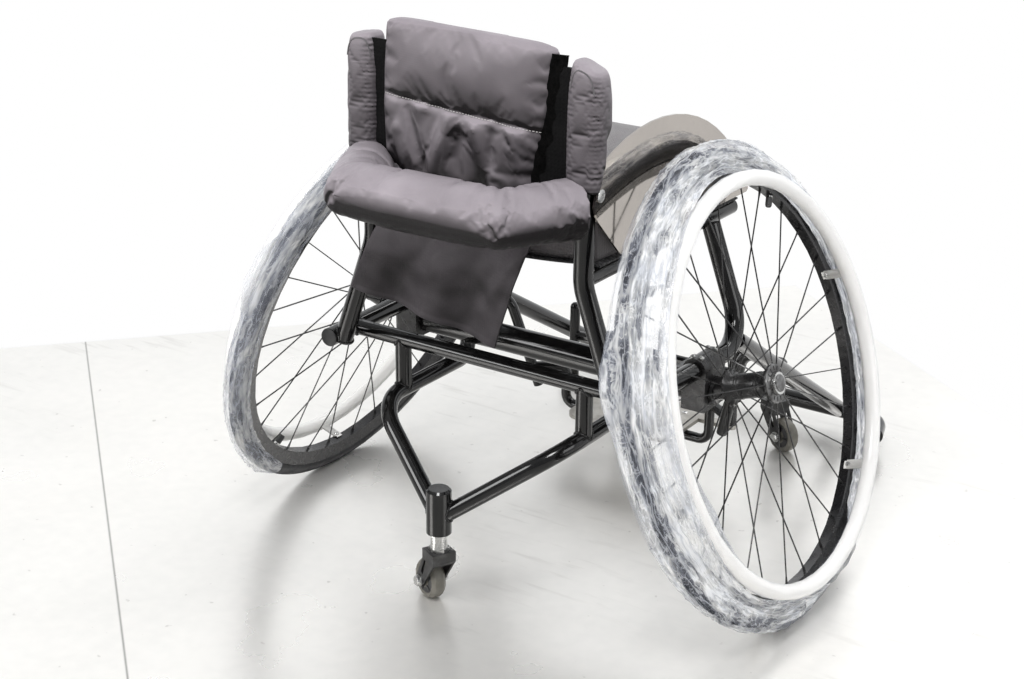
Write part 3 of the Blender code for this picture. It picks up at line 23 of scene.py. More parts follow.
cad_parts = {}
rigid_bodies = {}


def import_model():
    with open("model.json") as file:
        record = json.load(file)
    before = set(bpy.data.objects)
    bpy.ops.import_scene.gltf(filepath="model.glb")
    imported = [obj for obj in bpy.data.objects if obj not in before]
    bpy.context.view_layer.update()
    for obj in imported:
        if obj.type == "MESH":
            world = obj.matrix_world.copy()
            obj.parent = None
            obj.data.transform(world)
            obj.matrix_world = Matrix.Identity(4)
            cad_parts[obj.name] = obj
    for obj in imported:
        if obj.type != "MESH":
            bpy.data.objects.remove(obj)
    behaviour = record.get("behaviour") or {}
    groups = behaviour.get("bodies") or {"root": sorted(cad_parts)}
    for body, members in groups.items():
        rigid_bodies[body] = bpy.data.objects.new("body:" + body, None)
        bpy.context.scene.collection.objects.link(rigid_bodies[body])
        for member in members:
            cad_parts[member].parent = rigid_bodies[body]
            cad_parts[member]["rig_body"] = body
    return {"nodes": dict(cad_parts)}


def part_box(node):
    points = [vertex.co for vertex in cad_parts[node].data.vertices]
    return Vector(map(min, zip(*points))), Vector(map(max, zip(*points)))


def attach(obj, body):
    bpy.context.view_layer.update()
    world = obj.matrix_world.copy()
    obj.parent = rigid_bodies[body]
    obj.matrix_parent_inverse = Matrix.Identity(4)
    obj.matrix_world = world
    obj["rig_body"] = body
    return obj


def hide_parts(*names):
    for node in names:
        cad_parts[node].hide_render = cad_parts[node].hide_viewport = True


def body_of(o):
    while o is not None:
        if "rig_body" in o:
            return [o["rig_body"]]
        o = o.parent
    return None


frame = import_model()
log = logging.getLogger("wheelchair")

Point = Sequence[float]
Colour = tuple[float, float, float]
Surface = Callable[[float, float], Point]
Socket = bpy.types.NodeSocket
Sockets = bpy.types.NodeOutputs
Shape = bmesh.types.BMesh
Piece = bpy.types.Object

DUST: Colour = (0.45, 0.43, 0.40)
WHITE: Colour = (1.0, 1.0, 1.0)
UP = Vector((0, 0, 1))


class Side(Enum):
    """The sitter's two sides; the value is the sign of X."""

    RIGHT = 1
    LEFT = -1

    @property
    def label(self) -> str:
        """The side's name as the nodes carry it."""
        return self.name.lower()


class Relief(Enum):
    """What gives a finish its small relief."""

    PEEL = "orange peel of a powder coat"
    TURNED = "fine marks of machining"
    WEAVE = "threads of a cloth"
    FUZZ = "hooks and loops"
    MOULDED = "grain of a moulded face"
    CRINKLE = "creases of a thin film"


def axle_midpoint() -> Vector:
    """Where the frame puts the point midway between the drive wheels."""
    centres = [sum(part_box(f"tyre_{side.label}"), Vector()) / 2 for side in Side]
    return (centres[0] + centres[1]) / 2


ORIGIN = axle_midpoint()


@dataclass(frozen=True)
class Layout:
    """Where the frame's tubes run and how thick they are, on the right side of the chair."""

    floor: float = -ORIGIN.z
    wide_radius: float = 0.0127
    post_radius: float = 0.0125
    thin_radius: float = 0.011
    hanger_radius: float = 0.008
    housing_radius: float = 0.0165
    side_rear_x: float = 0.2250
    side_rear_y: float = -0.205
    side_front_x: float = 0.2335
    side_z: float = 0.012
    riser_x: float = 0.1765
    riser_y: float = 0.104
    rail_x: float = 0.160
    rail_z: float = 0.167
    rail_front_y: float = 0.192
    post_foot_x: float = 0.21447
    post_x: float = 0.159
    post_y: float = -0.188
    post_bend_z: float = 0.159
    post_top_z: float = 0.400
    bar_corner_x: float = 0.105
    bar_back_y: float = -0.290
    bar_z: float = 0.2575
    cross_y: float = -0.150
    lower_x: float = 0.1425
    lower_rear_y: float = -0.203
    lower_z: float = -0.060
    caster_y: float = -0.2656
    front_z: float = -ORIGIN.z + 0.0354
    plate_z: float = -ORIGIN.z + 0.0924
    guard_x: float = 0.1765


LAYOUT = Layout()


class Graph:
    """Adds nodes to a shader tree and links them."""

    def __init__(self, tree: bpy.types.NodeTree) -> None:
        """Start on a tree.

        Args:
            tree: the material's, world's or group's node tree.
        """
        self.tree = tree

    def add(self, kind: str, sockets: Optional[dict] = None, **settings: object) -> bpy.types.Node:
        """Add one node.

        Args:
            kind: the node type without its ShaderNode prefix.
            sockets: input name or index to a value or to another node's output.
            settings: properties of the node.

        Returns:
            The new node.
        """
        node = self.tree.nodes.new("ShaderNode" + kind)
        for name, value in settings.items():
            setattr(node, name, value)
        self.feed(node, sockets or {})
        return node

    def feed(self, node: bpy.types.Node, sockets: dict) -> None:
        """Set inputs to values or link them to outputs; a colour has three parts."""
        for key, value in sockets.items():
            if isinstance(value, Socket):
                self.tree.links.new(value, node.inputs[key])
            elif node.inputs[key].type == "RGBA":
                node.inputs[key].default_value = (*value, 1.0)
            else:
                node.inputs[key].default_value = value

    def maths(self, operation: str, first: object, second: object = 0.0) -> Socket:
        """The result of a sum on one or two values."""
        return self.add("Math", {0: first, 1: second}, operation=operation).outputs[0]

    times = partialmethod(maths, "MULTIPLY")
    plus = partialmethod(maths, "ADD")
    minus = partialmethod(maths, "SUBTRACT")
    most = partialmethod(maths, "MAXIMUM")
    size = partialmethod(maths, "ABSOLUTE")

    def spread(self, value: object, low: float, high: float, to_low: float = 0.0,
               to_high: float = 1.0) -> Socket:
        """A value moved from one range into another, clamped."""
        return self.add("MapRange", {"Value": value, "From Min": low, "From Max": high,
                                     "To Min": to_low, "To Max": to_high}).outputs[0]

    def noise(self, place: object, scale: object, detail: float = 3.0) -> Socket:
        """A noise value at a place."""
        return self.add("TexNoise", {"Vector": place, "Scale": scale, "Detail": detail}).outputs[0]

    def mix(self, share: Socket, first: object, second: object) -> Socket:
        """A colour between two."""
        return self.add("MixRGB", {0: share, 1: first, 2: second}).outputs[0]

    def scaled(self, vector: Socket, factors: Point) -> Socket:
        """A vector with its three parts multiplied."""
        return self.add("VectorMath", {0: vector, 1: factors}, operation="MULTIPLY").outputs[0]

    def axes(self, vector: Socket) -> Sockets:
        """The three parts of a vector."""
        return self.add("SeparateXYZ", {0: vector}).outputs

    def here(self) -> Socket:
        """The place on the piece, in the piece's own coordinates."""
        return self.add("TexCoord").outputs["Object"]

    def noted(self, name: str) -> Sockets:
        """What was noted on the mesh's points under a name."""
        return self.add("Attribute", attribute_name=name).outputs

    def upward(self, low: float, high: float) -> Socket:
        """How far a face looks up: 0 and 1 where its normal's height is low and high."""
        return self.spread(self.axes(self.add("NewGeometry").outputs["Normal"])["Z"], low, high)


class Effects:
    """The shader node groups that several finishes share, each made once."""

    def __init__(self) -> None:
        """Start with no groups made."""
        self.made: dict[str, bpy.types.NodeTree] = {}

    def group(self, name: str, inputs: dict[str, object], outputs: Iterable[str]) -> tuple:
        """Open a new group with its sockets.

        Args:
            name: the group's name.
            inputs: socket name to default value; a value of three parts is a colour.
            outputs: names of the outputs; one called Colour is a colour.

        Returns:
            The graph inside it, what is given to it and its output node.
        """
        tree = bpy.data.node_groups.new(name, "ShaderNodeTree")
        for key, value in inputs.items():
            colour = isinstance(value, tuple)
            kind = "NodeSocketColor" if colour else "NodeSocketFloat"
            socket = tree.interface.new_socket(key, in_out="INPUT", socket_type=kind)
            socket.default_value = (*value, 1.0) if colour else value
        for key in outputs:
            kind = "NodeSocketColor" if key == "Colour" else "NodeSocketFloat"
            tree.interface.new_socket(key, in_out="OUTPUT", socket_type=kind)
        self.made[name] = tree
        given = tree.nodes.new("NodeGroupInput").outputs
        return Graph(tree), given, tree.nodes.new("NodeGroupOutput")

    def place(self, graph: Graph, name: str, sockets: dict) -> Sockets:
        """Put a group into a material.

        Args:
            graph: the material's graph.
            name: which group.
            sockets: its values here.

        Returns:
            What the group gives out.
        """
        if name not in self.made:
            getattr(self, "make_" + name)()
        node = graph.tree.nodes.new("ShaderNodeGroup")
        node.node_tree = self.made[name]
        graph.feed(node, sockets)
        return node.outputs

    def make_colour_drift(self) -> None:
        """Slow change between two colours, with a little speckle."""
        graph, given, sink = self.group("colour_drift", {
            "Colour": (0.5, 0.5, 0.5), "Shade": (0.4, 0.4, 0.4), "Scale": 8.0}, ["Colour"])
        slow = graph.noise(graph.here(), given["Scale"], 4.0)
        quick = graph.noise(graph.here(), graph.times(given["Scale"], 22.0), 2.0)
        share = graph.spread(graph.plus(slow, graph.times(quick, 0.35)), 0.50, 0.85)
        graph.feed(sink, {"Colour": graph.mix(share, given["Colour"], given["Shade"])})

    def make_edge_wear(self) -> None:
        """Mask of the edges that hands and tools rub."""
        graph, given, sink = self.group("edge_wear", {"Amount": 0.5, "Scale": 90.0}, ["Mask"])
        edge = graph.spread(graph.add("NewGeometry").outputs["Pointiness"], 0.52, 0.60)
        broken = graph.spread(graph.noise(graph.here(), given["Scale"], 5.0), 0.42, 0.62)
        graph.feed(sink, {"Mask": graph.times(graph.times(edge, broken), given["Amount"])})

    def make_settled_dust(self) -> None:
        """Mask of the dust on the faces that look up."""
        graph, given, sink = self.group("settled_dust", {"Amount": 0.2}, ["Mask"])
        cloud = graph.spread(graph.noise(graph.here(), 60.0, 6.0), 0.45, 0.75)
        lying = graph.times(graph.upward(0.2, 1.0), cloud)
        graph.feed(sink, {"Mask": graph.times(lying, given["Amount"])})

    def make_upper_fade(self) -> None:
        """Mask of painted top light: the sides that look up are painted lighter, as if lit from above.
        """
        graph, given, sink = self.group("upper_fade", {"Amount": 0.5}, ["Mask"])
        cloud = graph.spread(graph.noise(graph.here(), 14.0, 4.0), 0.3, 0.7, 0.75, 1.0)
        top_lit = graph.times(graph.upward(-0.22, 0.52), cloud)
        graph.feed(sink, {"Mask": graph.times(top_lit, given["Amount"])})

    def make_fine_grain(self) -> None:
        """Fine relief of a coated, moulded or machined face."""
        graph, given, sink = self.group("fine_grain", {"Scale": 400.0}, ["Height", "Mask"])
        fine = graph.noise(graph.here(), given["Scale"], 3.0)
        broad = graph.noise(graph.here(), graph.times(given["Scale"], 0.22), 2.0)
        graph.feed(sink, {"Height": graph.plus(fine, broad), "Mask": graph.spread(broad, 0.4, 0.65)})

    def make_cloth_weave(self) -> None:
        """Crossing threads, with the slubs that break their lines."""
        graph, given, sink = self.group("cloth_weave", {"Threads": 1400.0}, ["Height", "Mask"])
        place = graph.axes(graph.here())
        across = graph.plus(place["X"], graph.times(place["Y"], 0.8))
        up = graph.minus(place["Z"], graph.times(place["Y"], 0.6))
        crossing = graph.most(*(graph.maths("SINE", graph.times(way, given["Threads"]))
                                for way in (across, up)))
        slub = graph.noise(graph.here(), 260.0, 4.0)
        graph.feed(sink, {"Height": graph.plus(crossing, graph.times(slub, 1.6)),
                          "Mask": graph.spread(slub, 0.4, 0.7)})

    def make_crinkle(self) -> None:
        """Streaks along a pulled film, with the sharp creases that cross them; the streaks are painted
        white, partly as milky creases and partly as painted highlight.
        """
        graph, given, sink = self.group("crinkle", {"Scale": 60.0}, ["Height", "Mask", "Dark"])
        lie = graph.noted("lie")["Vector"]
        bent = graph.add("TexNoise", {"Vector": graph.scaled(lie, (14.0, 30.0, 1.0)), "Scale": 1.0,
                                      "Detail": 3.0}).outputs["Color"]
        offset = graph.scaled(bent, (0.05, 0.012, 0.0))
        moved = graph.add("VectorMath", {0: lie, 1: offset}, operation="ADD").outputs[0]
        lines = []
        for along, across, width in ((0.10, 1.0, 0.060), (0.34, 2.4, 0.060), (0.80, 1.5, 0.030),
                                     (0.16, 1.4, 0.050)):
            crest = graph.noise(graph.scaled(moved, (along, across, 1.0)), given["Scale"], 3.0)
            lines.append(graph.spread(graph.size(graph.minus(crest, 0.5)), 0.0, width, 1.0, 0.0))
        streaks = graph.most(graph.most(lines[0], lines[1]), graph.times(lines[2], 0.8))
        # Dark carries the lines that the film paints grey as painted shade, where creases bend light
        # away.
        graph.feed(sink, {"Height": streaks, "Mask": streaks, "Dark": lines[3]})


EFFECTS = Effects()


@dataclass(frozen=True)
class Finish:
    """One finish of the chair: its colours, gloss and small relief."""

    name: str
    slot: str
    colour: Colour
    shade: Colour
    roughness: float
    relief: Relief
    relief_size: float
    relief_depth: float
    metallic: float = 0.0
    coat: float = 0.0
    coat_roughness: float = 0.06
    sheen: float = 0.0
    sheen_roughness: float = 0.4
    drift: float = 8.0
    wear: float = 0.0
    worn: Colour = (0.5, 0.5, 0.5)
    dust: float = 0.0
    gloss_spread: float = 0.1
    edge: float = 0.0
    shine: float = 0.5
    # The fade amount and the colour after it paint top light: faces that look up are painted towards a
    # lighter colour, as if lit from above.
    fade: float = 0.0
    faded: Colour = (0.37, 0.333, 0.362)

    def make(self) -> bpy.types.Material:
        """The finish's material, made once and then shared."""
        if self.name in bpy.data.materials:
            return bpy.data.materials[self.name]
        material = bpy.data.materials.new(self.name)
        material.use_nodes = True
        material.diffuse_color = (*self.colour, 1.0)
        graph = Graph(material.node_tree)
        shader = material.node_tree.nodes["Principled BSDF"]
        relief = self.relief_sockets(graph)
        colour = EFFECTS.place(graph, "colour_drift", {
            "Colour": self.colour, "Shade": self.shade, "Scale": self.drift})["Colour"]
        # The first mask paints top light onto faces that look up; edge wear and dust are the finish's
        # own marks.
        for effect, amount, over in (("upper_fade", self.fade, self.faded),
                                     ("edge_wear", self.wear, self.worn),
                                     ("settled_dust", self.dust, DUST)):
            if amount:
                mask = EFFECTS.place(graph, effect, {"Amount": amount})["Mask"]
                colour = graph.mix(mask, colour, over)
        bump = graph.add("Bump", {"Strength": 1.0, "Distance": self.relief_depth,
                                  "Height": relief["Height"]})
        if self.edge:
            broken = graph.add("Bevel", {"Radius": self.edge}, samples=4)
            graph.feed(bump, {"Normal": broken.outputs[0]})
        graph.feed(shader, {
            "Base Color": self.finishing(graph, shader, relief, colour),
            "Roughness": graph.spread(relief["Mask"], 0.0, 1.0, self.roughness,
                                      min(self.roughness + self.gloss_spread, 1.0)),
            "Metallic": self.metallic, "Specular IOR Level": self.shine,
            "Coat Weight": self.coat, "Coat Roughness": self.coat_roughness,
            "Sheen Weight": self.sheen, "Sheen Roughness": self.sheen_roughness,
            "Normal": bump.outputs[0]})
        return material

    def relief_sockets(self, graph: Graph) -> Sockets:
        """What the group gives out that carries this finish's relief."""
        group, size = {Relief.WEAVE: ("cloth_weave", "Threads"), Relief.CRINKLE: (
            "crinkle", "Scale")}.get(self.relief, ("fine_grain", "Scale"))
        return EFFECTS.place(graph, group, {size: self.relief_size})

    def finishing(self, graph: Graph, shader: bpy.types.Node, relief: Sockets,
                  colour: Socket) -> Socket:
        """Further links of a finish and its last colour; a plain one keeps what it has."""
        return colour


@dataclass(frozen=True)
class FilmFinish(Finish):
    """Clear wrapping film: milky along its creases, whose white lines are partly painted highlight, and
    see-through between them.

    The line where the film is drawn taut over the tread shows least of it.
    """

    clear: float = 0.04
    milky: float = 0.97
    cloud_low: float = 0.40
    cloud_high: float = 0.62
    cloud_share: float = 0.52
    veil_least: float = 0.20
    streak_share: float = 0.46
    taut: float = 0.92
    taut_line: float = 0.036
    taut_wander: float = 0.0065
    # dark is painted shade: the grey of lines where the creased film bends light away.
    dark: Colour = (0.36, 0.39, 0.46)
    thin: Colour = (0.60, 0.65, 0.80)

    def finishing(self, graph: Graph, shader: bpy.types.Node, relief: Sockets,
                  colour: Socket) -> Socket:
        """Let the streaks and the clouds decide how much of the film shows."""
        lie, bare = graph.noted("lie")["Vector"], graph.noted("bare")["Fac"]
        axes = graph.axes(lie)
        long = graph.scaled(lie, (14.0, 85.0, 1.0))
        cloud = graph.spread(graph.noise(long, 1.0, 4.0), self.cloud_low, self.cloud_high)
        veil = graph.plus(graph.times(cloud, self.cloud_share), self.veil_least)
        drawn = graph.add("CombineXYZ", {0: axes["X"]}).outputs[0]
        wander = graph.spread(graph.noise(drawn, 9.0, 5.0), 0.2, 0.8, -self.taut_wander,
                              self.taut_wander)
        off = graph.size(graph.minus(graph.minus(axes["Y"], self.taut_line), wander))
        taut = graph.times(graph.spread(off, 0.0022, 0.0056, self.taut, 0.0),
                           graph.spread(graph.noise(drawn, 14.0, 2.0), 0.34, 0.44, 0.25, 1.0))
        kept = graph.minus(1.0, graph.most(taut, bare))
        # The streaks make the film whiter and more opaque: partly milky creases, partly painted
        # highlight.
        streaks = graph.times(graph.minus(self.streak_share, graph.times(bare, self.streak_share)),
                              relief["Mask"])
        share = graph.plus(graph.times(veil, kept), streaks)
        graph.feed(shader, {"Alpha": graph.spread(share, 0.0, 1.0, self.clear, self.milky)})
        # Painted shade: grey lines where the creased film bends light away.
        refraction_shaded = graph.mix(graph.times(relief["Dark"], 0.55), colour, self.dark)
        return graph.mix(graph.spread(share, 0.10, 0.50), self.thin, refraction_shaded)


class Wardrobe:
    """Every finish of the chair."""

    PAINT = Finish("black_powder_coat", "black_paint", (0.0030, 0.0030, 0.0033),
                   (0.0060, 0.0056, 0.0054), 0.10, Relief.PEEL, 200.0, 0.00003, drift=14.0,
                   wear=0.08, dust=0.02, worn=(0.06, 0.06, 0.06), gloss_spread=0.05, edge=0.0006)
    BLACK_METAL = Finish("black_anodised", "black_metal", (0.012, 0.012, 0.013),
                         (0.022, 0.021, 0.021), 0.26, Relief.TURNED, 500.0, 0.00002, metallic=0.25,
                         drift=25.0, wear=0.15, worn=(0.14, 0.14, 0.14), dust=0.03, edge=0.0003)
    # The nylons' fade paints top light: their faces that look up are painted lighter.
    CORDURA = Finish("padded_nylon", "black_nylon", (0.006, 0.0050, 0.0056), (0.010, 0.0084, 0.0094),
                     0.42, Relief.WEAVE, 2400.0, 0.00004, drift=11.0, dust=0.02,
                     gloss_spread=0.08, shine=0.14, fade=1.0)
    TAIL = Finish("tail_nylon", "black_nylon", (0.006, 0.0050, 0.0056), (0.010, 0.0084, 0.0094),
                  0.46, Relief.WEAVE, 2100.0, 0.00006, drift=9.0, dust=0.02,
                  gloss_spread=0.10, shine=0.14, fade=0.28)
    SEAT = Finish("seat_cover", "seat_cloth", (0.145, 0.134, 0.140), (0.180, 0.168, 0.173), 0.70,
                  Relief.WEAVE, 1500.0, 0.0003, sheen=0.35, drift=10.0, dust=0.10)
    SLING = Finish("sling_webbing", "sling_cloth", (0.020, 0.020, 0.022), (0.034, 0.033, 0.035),
                   0.75, Relief.WEAVE, 900.0, 0.0005, sheen=0.2, drift=20.0)
    # The hook strip and the straps behind the panel: their own black, darkened further to near black as
    # painted shade of the gap between the panel and the bolsters.
    HOOK = Finish("hook_strip", "sling_cloth", (0.003, 0.003, 0.003), (0.009, 0.0085, 0.0085), 0.90,
                  Relief.FUZZ, 900.0, 0.0008, drift=120.0, shine=0.10)
    BACKING = Finish("black_backing", "sling_cloth", (0.003, 0.003, 0.0032), (0.006, 0.0057, 0.0060),
                     0.80, Relief.WEAVE, 1200.0, 0.0002, drift=40.0, shine=0.10)
    PIPING = Finish("cloth_piping", "black_nylon", (0.085, 0.078, 0.084), (0.120, 0.112, 0.118),
                    0.50, Relief.WEAVE, 3000.0, 0.0001, sheen=0.3, drift=60.0)
    THREAD = Finish("sewing_thread", "black_nylon", (0.42, 0.40, 0.40), (0.62, 0.60, 0.59), 0.55,
                    Relief.FUZZ, 2500.0, 0.0001, drift=90.0)
    TYRE = Finish("tyre_tread", "tyre_rubber", (0.010, 0.010, 0.012), (0.018, 0.018, 0.021), 0.45,
                  Relief.MOULDED, 500.0, 0.00012, drift=30.0, dust=0.04, shine=0.4)
    RIM = Finish("rim_black", "rim_anodised", (0.016, 0.016, 0.018), (0.028, 0.027, 0.028), 0.26,
                 Relief.TURNED, 600.0, 0.00004, metallic=0.55, coat=0.3, drift=25.0, dust=0.05)
    RING = Finish("push_ring_coat", "handrim_grip", (0.96, 0.945, 0.915), (0.92, 0.905, 0.875), 0.28,
                  Relief.MOULDED, 300.0, 0.0001, coat=0.5, drift=7.0, dust=0.05)
    STEEL = Finish("bright_fasteners", "bright_steel", (0.66, 0.66, 0.65), (0.50, 0.50, 0.49), 0.24,
                   Relief.TURNED, 900.0, 0.00006, metallic=1.0, drift=60.0, wear=0.3,
                   worn=(0.85, 0.85, 0.84))
    HUB_FACE = Finish("hub_face_grey", "bright_steel", (0.085, 0.083, 0.083), (0.060, 0.058, 0.058),
                      0.34, Relief.TURNED, 800.0, 0.00008, metallic=0.7, drift=60.0, wear=0.6,
                      worn=(0.50, 0.50, 0.50), edge=0.0003)
    TREAD = Finish("caster_tread_grey", "caster_tread", (0.17, 0.16, 0.135), (0.12, 0.113, 0.095),
                   0.42, Relief.MOULDED, 420.0, 0.0001, drift=60.0, dust=0.10, wear=0.2,
                   worn=(0.34, 0.33, 0.30))
    FORK = Finish("fork_satin_black", "fork_black", (0.007, 0.007, 0.0075), (0.013, 0.012, 0.012),
                  0.28, Relief.PEEL, 420.0, 0.00005, drift=40.0, wear=0.25,
                  worn=(0.12, 0.12, 0.12), dust=0.04, edge=0.0005)
    PLATE = Finish("footplate_alloy", "plate_alloy", (0.46, 0.44, 0.40), (0.37, 0.35, 0.32), 0.40,
                   Relief.TURNED, 350.0, 0.0001, metallic=0.7, drift=20.0, wear=0.4,
                   worn=(0.70, 0.69, 0.66), dust=0.15)
    GUARD = Finish("polished_guard", "guard_laminate", (0.46, 0.425, 0.39),
                   (0.42, 0.39, 0.36), 0.045, Relief.TURNED, 60.0, 0.000002, metallic=0.95,
                   drift=6.0, gloss_spread=0.03)
    PLASTIC = Finish("moulded_plastic", "fork_black", (0.030, 0.030, 0.031), (0.045, 0.044, 0.045),
                     0.48, Relief.MOULDED, 700.0, 0.0002, drift=40.0, wear=0.3,
                     worn=(0.12, 0.12, 0.12), dust=0.10)
    FILM = FilmFinish("clear_film", "handrim_grip", (0.93, 0.93, 0.925), (0.80, 0.82, 0.865), 0.14,
                      Relief.CRINKLE, 70.0, 0.0005, drift=40.0, gloss_spread=0.18)

    SOLIDS: dict[str, tuple[Finish, float]] = {
        stem: (finish, sharp) for finish, sharp, stems in (
            (PAINT, 0, "side_tube seat_rail back_post lower_tube lower_post front_tube "
                       "front_bumper footrest_hanger push_bar"),
            (PAINT, 36, "rear_cross_tube camber_tube rear_caster_housing"),
            (PAINT, 40, "front_caster_housing footplate_cradle footrest_crossbar"),
            (PAINT, 42, "footrest_rod"), (BLACK_METAL, 36, "camber_clamp axle_receiver"),
            (BLACK_METAL, 40, "hub_and_spokes"), (TYRE, 50, "tyre"), (RIM, 34, "rim"),
            (RING, 50, "handrim"), (STEEL, 40, "axle"), (HUB_FACE, 40, "release_button"),
            (GUARD, 30, "side_guard"), (PLATE, 30, "footplate"), (TREAD, 34, "caster_wheel"),
            (FORK, 34, "caster_fork"), (STEEL, 0, "caster_bolt"))
        for stem in stems.split()}

    @classmethod
    def solid(cls, node: str) -> tuple[Optional[Finish], float]:
        """What a solid gets.

        Args:
            node: the solid's name, with its side or its caster.

        Returns:
            Its finish, and the angle in degrees above which its edges stay sharp when it is
            drawn finer; the angle is 0 if this list leaves its form alone.
        """
        stem = node.removesuffix("_left").removesuffix("_right")
        for end in ("caster_wheel", "caster_fork", "caster_bolt"):
            stem = end if node.endswith(end) else stem
        return cls.SOLIDS.get(stem, (None, 0))

    @classmethod
    def dress(cls) -> int:
        """Give every carried-over solid its finish.

        Returns:
            How many solids got one.
        """
        dressed = [(node, cls.solid(name)[0]) for name, node in frame["nodes"].items()]
        dressed = [(node, finish) for node, finish in dressed if finish]
        for node, finish in dressed:
            for slot in node.material_slots:
                slot.material = finish.make()
        return len(dressed)


def clamp(value: float, low: float = 0.0, high: float = 1.0) -> float:
    """A value kept between two limits."""
    return min(max(value, low), high)


def ease(share: float) -> float:
    """A share kept between 0 and 1, with soft ends."""
    share = clamp(share)
    return share * share * (3 - 2 * share)


def bell(value: float, middle: float, width: float) -> float:
    """A smooth hump of height 1."""
    return exp(-((value - middle) / width) ** 2)


def fold(place: Point, scale: float) -> float:
    """Smooth noise from -1 to 1 at a place."""
    return noise.noise(Vector(place) * scale)


def ridge(place: Point, scale: float) -> float:
    """Noise with a sharp crest, from 0 to 1."""
    return 1 - min(abs(fold(place, scale)) * 2.4, 1.0)


def turned(angle: float, middle: float) -> float:
    """How far an angle is turned from a middle one, at most half a turn either way."""
    return atan2(sin(angle - middle), cos(angle - middle))


def around(angle: float, radius: float = 1.0, height: float = 0.0) -> Vector:
    """A point round Z at an angle from X."""
    return Vector((radius * cos(angle), radius * sin(angle), height))


def circle(radius: float, steps: int, height: float = 0.0) -> list[Vector]:
    """Points all round Z."""
    return [around(2 * pi * step / steps, radius, height) for step in range(steps)]


def mirrored(side: Side, points: Sequence[Point]) -> list[Point]:
    """The right side's points, on a side."""
    return [(side.value * x, y, z) for x, y, z in points]


def across(half: Sequence[Point]) -> list[Point]:
    """A path from the left to the right whose right half is given."""
    return mirrored(Side.LEFT, half[::-1]) + list(half)


def emit(name: str, shape: Shape, finish: Finish, body: str = "frame",
         place: Optional[Matrix] = None, sharp: float = 40.0) -> Piece:
    """Turn a bmesh into a finished piece that rides on a body.

    Args:
        name: the piece's name.
        shape: its form, in the place's coordinates; freed here.
        finish: its finish.
        body: the body it moves with.
        place: the piece's frame; the axle midpoint's if left out.
        sharp: the angle in degrees above which an edge stays sharp.

    Returns:
        The new object.
    """
    shape.transform(Matrix.Translation(ORIGIN) @ (place or Matrix.Identity(4)))
    bmesh.ops.recalc_face_normals(shape, faces=shape.faces)
    mesh = bpy.data.meshes.new(name)
    shape.to_mesh(mesh)
    shape.free()
    mesh.materials.append(finish.make())
    mesh.shade_smooth()
    mesh.set_sharp_from_angle(angle=radians(sharp))
    piece = bpy.data.objects.new(name, mesh)
    bpy.context.scene.collection.objects.link(piece)
    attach(piece, body)
    log.info("%s rides on %s with %d faces", name, body, len(mesh.polygons))
    return piece


def band(shape: Shape, low: Sequence, high: Sequence, is_open: bool = False) -> None:
    """Faces between two loops of a form's points, or between two open lines of them."""
    count = len(low)
    for index in range(count - 1 if is_open else count):
        after = (index + 1) % count
        shape.faces.new((low[index], low[after], high[after], high[index]))


def skin(rings: Sequence[Sequence[Point]], capped: bool = True, closed: bool = False,
         ring_open: bool = False) -> Shape:
    """Faces through rings of points.

    Args:
        rings: rings with the same number of points.
        capped: close the first and the last ring.
        closed: join the last ring to the first.
        ring_open: the rings are open lines, not loops.

    Returns:
        The surface.
    """
    shape = bmesh.new()
    made = [[shape.verts.new(point) for point in ring] for ring in rings]
    for low, high in zip(made, made[1:] + made[:1] if closed else made[1:]):
        band(shape, low, high, ring_open)
    if capped and not closed and not ring_open:
        shape.faces.new(made[0])
        shape.faces.new(made[-1])
    return shape


def net(shape: Shape, columns: int, rows: int, surface: Surface) -> list:
    """Faces over a net of points.

    Args:
        shape: the form that gets them.
        columns: how many faces across.
        rows: how many faces up.
        surface: the place at s across and t up, both from -1 to 1.

    Returns:
        The points round the net's border.
    """
    grid = [[shape.verts.new(surface(2 * i / columns - 1, 2 * j / rows - 1))
             for i in range(columns + 1)] for j in range(rows + 1)]
    for low, high in zip(grid, grid[1:]):
        band(shape, low, high, True)
    return (grid[0] + [line[-1] for line in grid[1:-1]] + grid[-1][::-1]
            + [line[0] for line in grid[-2:0:-1]])


def slab(columns: int, rows: int, surface: Callable[[float, float, float], Point],
         levels: tuple[float, float] = (-1, 1)) -> Shape:
    """A closed form between the rear and the front, or the low and the high, of a surface.

    Args:
        columns: how many faces across.
        rows: how many faces up.
        surface: the place at s across, t up (both from -1 to 1) and a level.
        levels: the levels of the two faces.

    Returns:
        The form.
    """
    shape = bmesh.new()
    low, high = [net(shape, columns, rows, lambda s, t, level=level: surface(s, t, level))
                 for level in levels]
    band(shape, low, high)
    return shape


def tube_rings(path: Sequence[Vector], radius: object, facets: int) -> list[list[Vector]]:
    """Rings of points round a path; the radius may be a function of share and angle."""
    rings = []
    across: Optional[Vector] = None
    for index, point in enumerate(path):
        ahead = path[min(index + 1, len(path) - 1)] - point
        behind = point - path[max(index - 1, 0)]
        along = (ahead.normalized() + behind.normalized()).normalized()
        if across is None:
            upright = UP if abs(along.z) < 0.9 else Vector((0, 1, 0))
            across = upright.cross(along)
        across = (across - along * across.dot(along)).normalized()
        lift = along.cross(across)
        ring = []
        for step in range(facets):
            angle = 2 * pi * step / facets
            share = index / (len(path) - 1)
            size = radius(share, angle) if callable(radius) else radius
            ring.append(point + (across * cos(angle) + lift * sin(angle)) * size)
        rings.append(ring)
    return rings


def loop_tube(path: Sequence[Vector], radius: object, facets: int = 8) -> Shape:
    """A tube along a closed path."""
    return skin(tube_rings(list(path) + [path[0]], radius, facets)[:-1], closed=True)


def tube(path: Sequence[Vector], radius: object, facets: int = 12) -> Shape:
    """A capped tube along a path."""
    return skin(tube_rings([Vector(point) for point in path], radius, facets))


